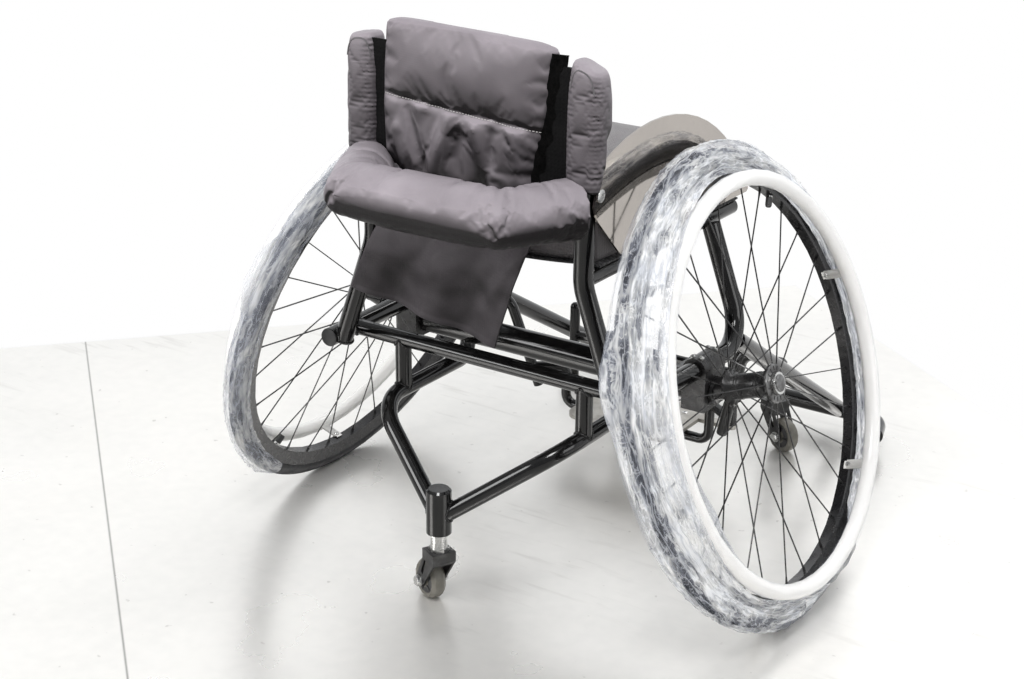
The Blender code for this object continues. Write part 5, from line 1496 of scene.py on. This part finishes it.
    def bolster(self, side: Side) -> None:
        """Padded sleeve over a back post, with its sewn end panel."""
        rings = []
        for level in range(161):
            height = -cos(pi * level / 160)
            rings.append([self.bolster_ring(side, height, 2 * pi * step / 80) for step in range(80)])
        cover = emit(f"bolster_cover_{side.label}", skin(rings), Wardrobe.CORDURA, sharp=70)
        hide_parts(f"side_bolster_{side.label}")
        Inflation(cell=0.0019, reach=0.0016).apply(
            cover, lambda place: self.sewn_bolster(side, place))
        swing = 0.75 if side is Side.LEFT else 0.6
        arch = [self.bolster_ring(side, 0.62 + 0.30 * sin(turn), -pi / 2 - swing * cos(turn))
                for turn in (pi * step / 40 for step in range(41))]
        emit(f"bolster_piping_{side.label}", tube(arch, 0.0011, 6), Wardrobe.PIPING)

    def strap_point(self, side: Side, s: float, t: float, sign: int) -> Point:
        """A point of a strap's rear (-1) or front (1) face for s and t from -1 to 1."""
        inner = abs(self.panel_edge(side.value, self.waist + self.left_taper)) - 0.018
        outer = self.bolster_inner + 0.010
        x = side.value * (inner + (outer - inner) * (s + 1) / 2)
        low = self.strap_low + 0.022 * ease((abs(x) - 0.117) / 0.018)
        z = low + (self.strap_high - low) * (t + 1) / 2
        return x, self.panel_y + 0.001 + 0.0005 * sin(190 * z + 60 * x) + sign * 0.0016, z

    def strap(self, side: Side) -> None:
        """Webbing that holds the panel to the bolster, black and darkened further as painted shade of
        the gap between them.
        """
        shape = slab(10, 40, partial(self.strap_point, side))
        emit(f"back_strap_{side.label}", shape, Wardrobe.BACKING)

    def hook_point(self, s: float, t: float) -> Point:
        """A point of the hook strip, frayed at its two edges, for s and t from -1 to 1."""
        z = self.hook_low + self.hook_height * (t + 1) / 2
        share = (s + 1) / 2
        fray = 0.0008 * fold((share * 3, 0, z), 220.0) if abs(s) == 1 else 0.0
        x = self.panel_edge(1, z) - 0.006 + 0.021 * share + fray
        return x, self.panel_y - 0.0035 + 0.004 * share + 0.0012 * fold((x, 1, z), 90.0), z

    def hook_strip(self) -> None:
        """Rough black hook-and-loop strip along the panel's right edge, darkened further as painted
        shade of the gap there.
        """
        shape = bmesh.new()
        net(shape, 8, 70, self.hook_point)
        bmesh.ops.solidify(shape, geom=shape.faces[:], thickness=0.0016)
        emit("hook_strip", shape, Wardrobe.HOOK, sharp=80)

    def tail_point(self, s: float, t: float, sign: int) -> Vector:
        """A point of the tail's rear (-1) or front (1) face; t is -1 at its hem, 1 at the panel."""
        u, v = (s + 1) / 2, (t + 1) / 2
        low = Vector(self.tail_low[0]).lerp(Vector(self.tail_low[1]), u)
        high = [Vector((x, self.panel_bottom - 0.0003)) for x in self.tail_top_x]
        x, z = low.lerp(high[0].lerp(high[1], u), v)
        hang = (1 - t) / 2
        wave = 0.006 * hang * sin(2.2 * pi * (s + 0.15)) + 0.004 * hang
        wave += 0.0035 * sin(pi * v) * fold((x, 0, z), 16.0) + 0.0015 * fold((x, 2, z), 45.0)
        wave += 0.004 * v * (bell(s - 0.35 * v, 0.62, 0.10) - bell(s - 0.5 * v, -0.55, 0.14))
        back = min(hang / 0.5, 1.0)
        y = self.panel_y + (self.tail_back_y - self.panel_y) * back * (2 - back)
        hem = self.tail_hem * (abs(s) > 0.93 or t < -0.90)
        return Vector((x, y + sign * (self.tail_half + hem) - wave, z))

    def tail(self) -> None:
        """Loose cloth tail below the panel, hemmed at its edges."""
        tail = emit("tail_cloth", slab(70, 60, self.tail_point), Wardrobe.TAIL, sharp=80)
        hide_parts("backrest_flap")

    def pad_rings(self) -> list[list[Vector]]:
        """Rings of the pad, cut slantwise where its three lengths meet at the corners."""
        half = [Vector((LAYOUT.bar_corner_x, LAYOUT.bar_back_y, LAYOUT.bar_z)),
                Vector((LAYOUT.post_x, LAYOUT.post_y, LAYOUT.bar_z))]
        half[1] += (half[0] - half[1]).normalized() * self.pad_start
        corners = [Vector(point) for point in across(half)]
        slant = tan((corners[1] - corners[0]).angle(corners[2] - corners[1]) / 2)
        rings, travelled = [], 0.0
        for index, (start, end) in enumerate(zip(corners, corners[1:])):
            way = (end - start).normalized()
            outward = way.cross(UP)
            length = (end - start).length
            steps = round(length / self.pad_step)
            for step in range(0 if index == 0 else 1, steps + 1):
                here = length * step / steps
                from_start = max(0.0, 1 - here / self.pad_slant_reach) if index else 0.0
                from_end = max(0.0, 1 - (length - here) / self.pad_slant_reach) if index < 2 else 0.0
                ring = []
                for facet in range(self.pad_facets):
                    angle = 2 * pi * facet / self.pad_facets
                    spoke = outward * cos(angle) + UP * sin(angle)
                    size = self.pad_size(travelled + here, angle, index, here, length)
                    shift = slant * cos(angle) * size * (from_end - from_start)
                    ring.append(start + way * (here + shift) + spoke * size)
                rings.append(ring)
            travelled += length
        return rings

    def pad_size(self, place: float, angle: float, index: int, here: float, length: float) -> float:
        """Radius of the pad at a place along it: tucked in at its ends, folded near its corners.

        Args:
            place: how far along the whole pad, in metres.
            angle: where round it, in radians from its outer side.
            index: which of its three lengths.
            here: how far along that length.
            length: how long it is.

        Returns:
            The radius in metres.
        """
        end = here if index == 0 else length - here if index == 2 else 1.0
        corner = min(here if index else 1.0, length - here if index < 2 else 1.0)
        spot = (place, cos(angle) * 0.036, sin(angle) * 0.036)
        size = 1 + 0.028 * fold(spot, 13.0) + 0.010 * fold(spot, 42.0)
        inside = 0.5 - 0.5 * cos(angle)
        size -= 0.10 * bell(corner, 0.0, 0.0035) * (0.35 + 0.65 * inside)
        for offset, slope in ((0.016, 0.006), (0.033, -0.007), (0.052, 0.008)):
            size -= 0.08 * bell(corner, offset + slope * sin(angle), 0.0035) * inside
        return self.pad_radius * (1 + 0.05 * bell(end, 0.0, 0.007)) * size

    def pad(self) -> None:
        """Thick cloth-covered pad on the push bar, folded at its two corners."""
        cover = emit("push_bar_cover", skin(self.pad_rings()), Wardrobe.CORDURA, sharp=70)
        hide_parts("push_bar_pad")
        Inflation(cell=0.0032, reach=0.003, growth=0.03).apply(cover, self.sewn_pad)

    def sewn_pad(self, place: Vector) -> bool:
        """Whether a point of the pad lies on the seams of its two corners or of its ends."""
        at = LAYOUT
        inward = Vector((at.bar_corner_x - at.post_x, at.bar_back_y - at.post_y)).normalized()
        start = Vector((at.post_x, at.post_y)) + inward * self.pad_start
        at_end = (Vector((abs(place.x), place.y)) - start).dot(inward) < 0.007
        corner = Vector((abs(place.x) - LAYOUT.bar_corner_x, place.y - LAYOUT.bar_back_y))
        off = corner.dot(Vector((0.8576, 0.5143)))
        return at_end or (abs(off) < 0.003 and place.z > LAYOUT.bar_z)


@dataclass
class Seat:
    """Cushion and sling."""

    rear_y: float = -0.166
    front_y: float = 0.212
    half_width: float = 0.166
    thickness: float = 0.080
    side_levels: int = 8
    clearance: float = 0.0003
    sling_thickness: float = 0.0025
    sag: float = 0.010
    sling_rear: float = -0.168
    sling_front: float = 0.192

    @property
    def rail_top(self) -> float:
        """Height of the sling's under side on the rails."""
        return LAYOUT.rail_z + LAYOUT.thin_radius + self.clearance

    @property
    def base(self) -> float:
        """Height of the cushion's under side on the sling."""
        return self.rail_top + self.sling_thickness + self.clearance

    @property
    def middle_y(self) -> float:
        """Where the cushion's middle lies along the chair."""
        return (self.rear_y + self.front_y) / 2

    def sag_at(self, x: float) -> float:
        """How far the sling hangs down between the rails."""
        return self.sag * max(0.0, 1 - (x / (LAYOUT.rail_x - LAYOUT.thin_radius)) ** 2)

    def outward(self, point: Vector) -> Vector:
        """The level way from the cushion's middle to a point."""
        return Vector((point.x, point.y - self.middle_y, 0)).normalized()

    def build(self) -> None:
        """Make the cushion, its piping and the sling."""
        self.cushion()
        self.piping()
        self.sling()

    def outline(self, s: float, t: float) -> tuple[float, float, float, float]:
        """Where s and t from -1 to 1 lie in the cushion's plan."""
        u, v = sin(s * pi / 2), sin(t * pi / 2)
        x = self.half_width * u * sqrt(1 - 0.05 * v ** 16)
        y = self.middle_y + (self.front_y - self.rear_y) / 2 * v * sqrt(1 - 0.05 * u ** 16)
        return u, v, x, y

    def top(self, s: float, t: float) -> Vector:
        """The cushion's upper side, crowned, with its two channels."""
        u, v, x, y = self.outline(s, t)
        edge = (1 - u ** 16) * (1 - v ** 16)
        channel = 0.004 * bell(abs(u), 0.5, 0.06)
        crown = 0.72 + 0.20 * max(edge, 0) ** 0.25 + 0.08 * cos(u * pi / 2) * cos(v * pi / 2)
        wave = 0.0012 * fold((x, y, 0), 22.0) * edge
        return Vector((x, y, self.base + self.thickness * crown - channel * edge + wave))

    def under(self, s: float, t: float) -> Vector:
        """The cushion's under side, lying in the sling's sag."""
        u, v, x, y = self.outline(s, t)
        border = max(abs(u), abs(v)) ** 16
        draw_in = 1 - 0.02 * border
        lift = 0.006 * max(0.0, 3 * border - 2)
        return Vector((x * draw_in, self.middle_y + (y - self.middle_y) * draw_in,
                       self.base + lift - self.sag_at(x)))

    def cushion(self) -> None:
        """The seat cushion as one closed form."""
        shape = bmesh.new()
        low, high = [net(shape, 72, 72, surface) for surface in (self.under, self.top)]
        rings = [low]
        for share in (level / self.side_levels for level in range(1, self.side_levels)):
            ring = []
            for start, end in zip(low, high):
                place = start.co.lerp(end.co, share)
                swell = -0.0022 * sin(pi * share) + 0.0008 * fold(place, 40.0)
                ring.append(shape.verts.new(place + self.outward(place) * swell))
            rings.append(ring)
        rings.append(high)
        for pair in zip(rings, rings[1:]):
            band(shape, *pair)
        cushion = emit("seat_cushion_cover", shape, Wardrobe.SEAT, sharp=60)
        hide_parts("seat_cushion")

    def rim_path(self, surface: Surface, out: float) -> list[Vector]:
        """The cushion's border as a closed path, moved outwards."""
        corners = [(-1, -1), (1, -1), (1, 1), (-1, 1)]
        path = []
        for start, end in zip(corners, corners[1:] + corners[:1]):
            for step in range(48):
                point = surface(*(a + (b - a) * step / 48 for a, b in zip(start, end)))
                path.append(point + self.outward(point) * out)
        return path

    def piping(self) -> None:
        """Piping round the cushion's upper and lower edges."""
        for stem, surface, out, radius in (("top", self.top, -0.0006, 0.0016),
                                           ("low", self.under, -0.0016, 0.0014)):
            shape = loop_tube(self.rim_path(surface, out), radius)
            emit(f"cushion_piping_{stem}", shape, Wardrobe.PIPING)

    def sling_point(self, s: float, t: float, lift: float) -> Point:
        """A point of the sling for s and t from -1 to 1, lifted off its under side."""
        x = (LAYOUT.rail_x + LAYOUT.thin_radius - 0.0010) * s
        y = self.sling_rear + (self.sling_front - self.sling_rear) * (t + 1) / 2
        return x, y, self.rail_top + lift - self.sag_at(x)

    def sling(self) -> None:
        """The seat sling laid over the rails."""
        shape = slab(60, 40, self.sling_point, (0.0, self.sling_thickness))
        sling = emit("seat_sling_cloth", shape, Wardrobe.SLING)
        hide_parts("seat_sling")


@dataclass
class FrameTubes:
    """The frame's round tubes, drawn fine enough to shine evenly, each for its own solid."""

    facets: int = 48

    def pairs(self) -> dict[str, tuple]:
        """Tubes that come left and right: radius, the right one's points, radii of its bends."""
        at = LAYOUT
        start, end = Vector((0.2286, 0.094, 0.017)), Vector((0.197, 0.552, at.front_z))
        hanger = start.lerp(end, (0.180 - start.y) / (end.y - start.y))
        low_bend = (at.lower_x, at.lower_rear_y, at.lower_z)
        return {
            "side_tube": (at.wide_radius, [(at.side_rear_x, at.side_rear_y, at.side_z),
                                           (at.side_front_x, at.riser_y, at.side_z),
                                           (at.riser_x, at.riser_y, at.rail_z)], (0.055,)),
            "back_post": (at.post_radius, [(at.post_foot_x, at.post_y, 0.006),
                                           (at.post_x, at.post_y, at.post_bend_z),
                                           (at.post_x, at.post_y, at.post_top_z)], (0.070,)),
            "seat_rail": (at.thin_radius, [(at.rail_x, at.post_y, at.rail_z),
                                           (at.rail_x, at.rail_front_y, at.rail_z)], ()),
            "lower_tube": (at.thin_radius, [(at.lower_x, 0, -0.0200), (at.lower_x, 0, at.lower_z),
                                            low_bend, (0.0003, -0.26545, at.floor + 0.1234)],
                           (0.024, 0.066)),
            "lower_post": (at.thin_radius, [(at.lower_x, at.cross_y, at.side_z),
                                            (at.lower_x, at.cross_y, at.lower_z)], ()),
            "front_tube": (at.post_radius, [start, end], ()),
            "footrest_hanger": (at.hanger_radius, [hanger, (0.196, 0.186, -0.043),
                                                   (0.158, 0.211, at.plate_z + 0.017)], (0.030,))}

    def build(self) -> None:
        """Make the tubes."""
        for stem, (radius, points, bends) in self.pairs().items():
            for side in Side:
                self.draw(f"{stem}_{side.label}", radius, mirrored(side, points), bends)
        bumper = [(0.264, 0.552, LAYOUT.front_z), (0.283, 0.488, LAYOUT.front_z)]
        self.draw("front_bumper", LAYOUT.wide_radius, across(bumper), (0.045,))
        bar = [(LAYOUT.bar_corner_x, LAYOUT.bar_back_y, LAYOUT.bar_z),
               (LAYOUT.post_x, LAYOUT.post_y, LAYOUT.bar_z)]
        self.draw("push_bar", LAYOUT.thin_radius, across(bar), (0.035,))

    def draw(self, node: str, radius: float, points: Sequence[Point], bends: Sequence[float]) -> None:
        """Make one tube for its solid."""
        piece = emit(f"{node}_round", tube(rounded(points, *bends), radius, self.facets), Wardrobe.PAINT)
        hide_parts(node)


class Turnery:
    """Finely shaded pieces that stand for solids with cut, notched or turned forms."""

    @classmethod
    def build(cls) -> None:
        """Stand a finely shaded piece in for every solid that has a sharp angle listed."""
        for name in list(frame["nodes"]):
            finish, sharp = Wardrobe.solid(name)
            if sharp:
                cls.refine(name, sharp, finish)

    @staticmethod
    def refine(name: str, sharp: float, finish: Finish) -> None:
        """Redraw one solid with joined faces and smooth rounds.

        Args:
            name: the solid's node.
            sharp: the angle in degrees above which its edges stay sharp.
            finish: its finish.
        """
        shape = bmesh.new()
        shape.from_mesh(frame["nodes"][name].data)
        bmesh.ops.remove_doubles(shape, verts=shape.verts, dist=2e-6)
        bmesh.ops.dissolve_limit(shape, angle_limit=radians(0.5), verts=shape.verts, edges=shape.edges)
        shape.transform(Matrix.Translation(-ORIGIN))
        piece = emit(f"{name}_fine", shape, finish, body_of(frame["nodes"][name])[0], sharp=sharp)
        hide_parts(name)


@dataclass
class FrameDetails:
    """Welds, caps, clamps and bolts of the frame."""

    bead_steps: int = 72

    def side_point(self, side: Side, y: float) -> Vector:
        """The point of the side tube's middle line at a length."""
        share = (y - LAYOUT.side_rear_y) / (LAYOUT.riser_y - LAYOUT.side_rear_y)
        x = LAYOUT.side_rear_x + (LAYOUT.side_front_x - LAYOUT.side_rear_x) * share
        return Vector((side.value * x, y, LAYOUT.side_z))

    def side_way(self, side: Side) -> Vector:
        """The way the side tube runs, from its rear end to its riser."""
        return self.side_point(side, LAYOUT.riser_y) - self.side_point(side, LAYOUT.side_rear_y)

    def build(self) -> None:
        """Make the frame's small pieces."""
        self.welds()
        for side in Side:
            self.tube_cap(side)
            self.guard_bolt(side)
            self.clamp_shell(side)
        self.footplate_screws()

    def weld(self, start: Point, toward: Point, radius: float, onto: Point, along: Point,
             onto_radius: float) -> Shape:
        """A rippled bead where a tube meets the side of another one.

        Args:
            start: a point on the meeting tube's middle line, outside the other tube.
            toward: the way that middle line runs into the other tube.
            radius: the meeting tube's radius.
            onto: a point on the other tube's middle line.
            along: the way the other tube runs.
            onto_radius: its radius.

        Returns:
            The bead as a closed ring.
        """
        way, axis = Vector(toward).normalized(), Vector(along).normalized()
        beside = way.orthogonal().normalized()
        lift = way.cross(beside)
        path = []
        for step in range(self.bead_steps):
            angle = 2 * pi * step / self.bead_steps
            point = Vector(start) + (beside * cos(angle) + lift * sin(angle)) * radius
            offset = point - Vector(onto)
            flat = offset - axis * offset.dot(axis)
            flow = way - axis * way.dot(axis)
            a, b = flow.length_squared, 2 * flat.dot(flow)
            c = flat.length_squared - onto_radius ** 2
            root = sqrt(max(b * b - 4 * a * c, 0.0))
            path.append(point + way * ((-b - root) / (2 * a)))
        path = spread(path + [path[0]], self.bead_steps * 2)[:-1]
        return loop_tube(path, lambda share, _: 0.0017 + 0.0004 * sin(2 * pi * share * 34), 8)

    def joints(self, side: Side) -> list[tuple]:
        """The welded joints of a side, as the weld method wants them.

        They are, in turn: back post on side tube, cross tube on side tube, lower post on
        cross tube, lower post on lower tube, and lower tube on the rear caster's housing.
        """
        at, sign, wide, thin = LAYOUT, side.value, LAYOUT.wide_radius, LAYOUT.thin_radius
        drift, out = self.side_way(side), sign * at.lower_x
        on_side, crossing = self.side_point(side, at.post_y), self.side_point(side, at.cross_y)
        foot = on_side - Vector((sign * 0.011, 0, 0.006))
        bend = Vector((sign * at.post_x, at.post_y, at.post_bend_z))
        bend_low = Vector((out, at.lower_rear_y, at.lower_z))
        end_low = Vector((0, at.caster_y, -0.166))
        return [
            (foot.lerp(bend, 0.4), foot - bend, at.post_radius, on_side, drift, wide),
            ((sign * 0.18, at.cross_y, at.side_z), (sign, 0, 0), thin, crossing, drift, wide),
            ((out, at.cross_y, -0.03), UP, thin, (0, at.cross_y, at.side_z), (1, 0, 0), thin),
            ((out, at.cross_y, -0.02), -UP, thin, (out, 0, at.lower_z), (0, 1, 0), thin),
            (bend_low.lerp(end_low, 0.5), end_low - bend_low, thin, (0, at.caster_y, 0), UP,
             at.housing_radius)]

    def welds(self) -> None:
        """Beads at the joints of the frame's tubes."""
        shape = bmesh.new()
        for side in Side:
            for joint in self.joints(side):
                merge(shape, self.weld(*joint))
        emit("weld_beads", shape, Wardrobe.PAINT)

    def tube_cap(self, side: Side) -> None:
        """Moulded plug in the side tube's rear end."""
        place = axis_frame(self.side_point(side, LAYOUT.side_rear_y), -self.side_way(side))
        plug = lathe([(0.0, 0.0003), (0.0122, 0.0003), (0.0122, 0.0012), (0.0112, 0.0020),
                      (0.0, 0.0023)], 40)
        emit(f"tube_plug_{side.label}", plug, Wardrobe.PLASTIC, place=place)

    def guard_bolt(self, side: Side) -> None:
        """Bright screw cap that holds the side guard to the back post."""
        out = side.value
        place = axis_frame((out * (LAYOUT.guard_x + 0.0046), -0.189, 0.275), (out, 0, 0))
        cap = lathe([(0.0, 0.0006), (0.0020, 0.0006), (0.0022, 0.0014), (0.0066, 0.0012),
                     (0.0080, 0.0004), (0.0080, -0.0016), (0.0, -0.0016)], 40)
        emit(f"guard_screw_{side.label}", cap, Wardrobe.STEEL, place=place)

    def clamp_shell(self, side: Side) -> None:
        """Bolts of the camber clamp, on its saddle and under its ears."""
        shape = bmesh.new()
        for y in (-0.020, 0.020):
            for turn in (-1, 1):
                middle = self.side_point(side, 0)
                foot = (middle.x + turn * 0.006, y, LAYOUT.side_z + 0.0158)
                seat = axis_frame(foot, (0.3 * turn, 0, 1))
                merge(shape, lathe([(0.0, 0.0), (0.0034, 0.0), (0.0034, 0.0026), (0.0026, 0.0032),
                                    (0.0016, 0.0032), (0.0016, 0.0014), (0.0, 0.0014)], 20), seat)
        emit(f"clamp_bolts_{side.label}", shape, Wardrobe.STEEL)

    def footplate_screws(self) -> None:
        """Countersunk screws of the footplate."""
        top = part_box("footplate")[1].z - ORIGIN.z
        shape = bmesh.new()
        for x in (-0.06, 0.06):
            for y in (0.205, 0.280):
                place = Matrix.Translation((x, y, top))
                merge(shape, lathe([(0.0, 0.0), (0.0045, 0.0), (0.0045, 0.0003), (0.0038, 0.0009),
                                    (0.0015, 0.0010), (0.0015, 0.0004), (0.0, 0.0004)], 24), place)
        emit("footplate_screws", shape, Wardrobe.STEEL)


@dataclass
class Studio:
    """Floor, soft light and the camera."""

    focal: float = 1755.0
    width: int = 1024
    azimuth: float = radians(33.7)
    elevation: float = radians(21.1)
    roll: float = radians(0.7)
    floor_gloss: float = 0.60
    floor_size: float = 14.0
    plate: Colour = (0.945, 0.925, 0.890)
    plate_shade: Colour = (0.87, 0.856, 0.826)
    scuffed: Colour = (0.52, 0.50, 0.47)
    joint: Colour = (0.34, 0.33, 0.32)
    surround: Colour = (0.85, 0.85, 0.85)
    sky: Colour = (0.97, 0.985, 1.0)
    dim: float = 0.35
    eye: tuple[float, float, float] = (1.19205, -1.88953, 0.85623)

    def build(self) -> None:
        """Set up the whole studio."""
        self.camera()
        self.floor()
        self.light()

    def camera(self) -> None:
        """The camera at the photograph's place and angle."""
        data = bpy.data.cameras.new("camera")
        data.sensor_width = 36.0
        data.lens = self.focal / self.width * data.sensor_width
        data.clip_end = 60.0
        camera = bpy.data.objects.new("camera", data)
        bpy.context.scene.collection.objects.link(camera)
        level = cos(self.elevation)
        right = around(self.azimuth)
        back = Vector((right.y * level, -right.x * level, sin(self.elevation)))
        up = back.cross(right)
        tilted = right * cos(self.roll) + up * sin(self.roll)
        turn = Matrix((tilted, back.cross(tilted), back)).transposed().to_4x4()
        camera.matrix_world = Matrix.Translation(Vector(self.eye) + ORIGIN) @ turn
        bpy.context.scene.camera = camera

    def floor(self) -> None:
        """A pale floor of plates on white, with the white kept plain for the eye only."""
        shape = bmesh.new()
        bmesh.ops.create_grid(shape, x_segments=8, y_segments=8, size=self.floor_size)
        mesh = bpy.data.meshes.new("floor")
        shape.to_mesh(mesh)
        shape.free()
        floor = bpy.data.objects.new("floor", mesh)
        bpy.context.scene.collection.objects.link(floor)
        mesh.materials.append(self.floor_material())

    def floor_material(self) -> bpy.types.Material:
        """Pale sheet plates with one joint line, scuffs and a white surround."""
        material = bpy.data.materials.new("pale_floor")
        material.use_nodes = True
        graph = Graph(material.node_tree)
        shader, output = (graph.tree.nodes[name] for name in ("Principled BSDF", "Material Output"))
        place = graph.here()
        axes = graph.axes(place)

        def line(nx: float, ny: float, offset: float) -> Socket:
            """How far a place lies beyond a straight line on the floor."""
            return graph.minus(graph.plus(graph.times(axes["X"], nx), graph.times(axes["Y"], ny)),
                               offset)

        outside = graph.most(graph.spread(line(-0.7511, 0.6602, 0.8088), -0.004, 0.004),
                             graph.spread(line(0.5935, 0.8048, 0.7352), -0.004, 0.004))
        joint = graph.spread(graph.size(line(0.6537, 0.7568, -0.6959)), 0.0, 0.0022, 1.0, 0.0)
        colour = EFFECTS.place(graph, "colour_drift", {
            "Colour": self.plate, "Shade": self.plate_shade, "Scale": 2.2})["Colour"]
        drawn = graph.scaled(place, (1.0, 7.0, 1.0))
        scuff = graph.times(graph.spread(graph.noise(drawn, 9.0, 6.0), 0.56, 0.70, 0.0, 0.30),
                            graph.spread(graph.noise(place, 2.3, 2.0), 0.52, 0.64))
        specks = graph.spread(graph.noise(place, 55.0, 2.0), 0.71, 0.76, 0.0, 0.5)
        for mask, over in ((graph.most(scuff, specks), self.scuffed), (joint, self.joint),
                           (outside, self.surround)):
            colour = graph.mix(mask, colour, over)
        graph.feed(shader, {
            "Base Color": colour, "Metallic": self.floor_gloss,
            "Roughness": graph.spread(graph.noise(place, 4.0, 5.0), 0.3, 0.7, 0.24, 0.42)})
        seen = graph.add("LightPath").outputs
        rays = graph.most(seen["Is Camera Ray"],
                          graph.most(seen["Is Glossy Ray"], seen["Is Transmission Ray"]))
        white = graph.add("Emission", {"Color": WHITE, "Strength": 1.0})
        mix = graph.add("MixShader", {0: graph.times(rays, outside), 1: shader.outputs[0],
                                      2: white.outputs[0]})
        graph.feed(output, {"Surface": mix.outputs[0]})
        return material

    def light(self) -> None:
        """A dome that is dim behind the chair, a plain white for the eye, and four soft lamps."""
        scene = bpy.context.scene
        scene.view_settings.view_transform = "Standard"
        scene.world = bpy.data.worlds.new("studio")
        scene.world.use_nodes = True
        graph = Graph(scene.world.node_tree)
        dome, output = (graph.tree.nodes[name] for name in ("Background", "World Output"))
        way = graph.axes(graph.add("TexCoord").outputs["Generated"])
        front = graph.spread(way["Y"], -0.10, 0.45, self.dim, 1.0)
        above = graph.spread(way["Z"], 0.60, 0.98, self.dim, 0.6)
        graph.feed(dome, {"Color": self.sky, "Strength": graph.most(front, above)})
        rays = graph.add("LightPath").outputs["Is Camera Ray"]
        white = graph.add("Background", {"Color": WHITE, "Strength": 1.0})
        mix = graph.add("MixShader", {0: rays, 1: dome.outputs[0], 2: white.outputs[0]})
        graph.feed(output, {"Surface": mix.outputs[0]})
        self.lamp("key", (0.7, -1.8, 3.1), 0.9, 48.0)
        self.lamp("left", (-1.8, -2.7, 1.5), 1.4, 50.0)
        self.lamp("right", (2.6, -0.3, 1.3), 1.2, 13.0)
        self.lamp("front", (0.3, 2.3, 2.8), 1.1, 24.0)

    def lamp(self, name: str, place: Point, size: float, power: float) -> None:
        """A square soft lamp that looks at the chair."""
        data = bpy.data.lights.new(name, "AREA")
        data.size = size
        data.energy = power
        lamp = bpy.data.objects.new(name, data)
        bpy.context.scene.collection.objects.link(lamp)
        lamp.matrix_world = axis_frame(place, Vector(place) - UP * 0.3)


CASTERS = (
    Caster("rear", 0.0, LAYOUT.caster_y, -0.186, radians(154)),
    Caster("front_right", 0.135, 0.438, -0.196, radians(338)),
    Caster("front_left", -0.135, 0.438, -0.196, radians(331)),
)


def main() -> None:
    """Dress the chair, piece by piece, and log how many solids got a finish and how many faces each
    piece has.
    """
    logging.basicConfig(level=logging.INFO, format="%(name)s: %(message)s")
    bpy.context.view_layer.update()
    Studio().build()
    log.info("%d solids got their finish", Wardrobe.dress())
    for side in Side:
        DriveWheel(side).build()
    for caster in CASTERS:
        caster.build()
    Upholstery().build()
    Seat().build()
    FrameTubes().build()
    Turnery.build()
    FrameDetails().build()


if __name__ == "__main__":
    main()
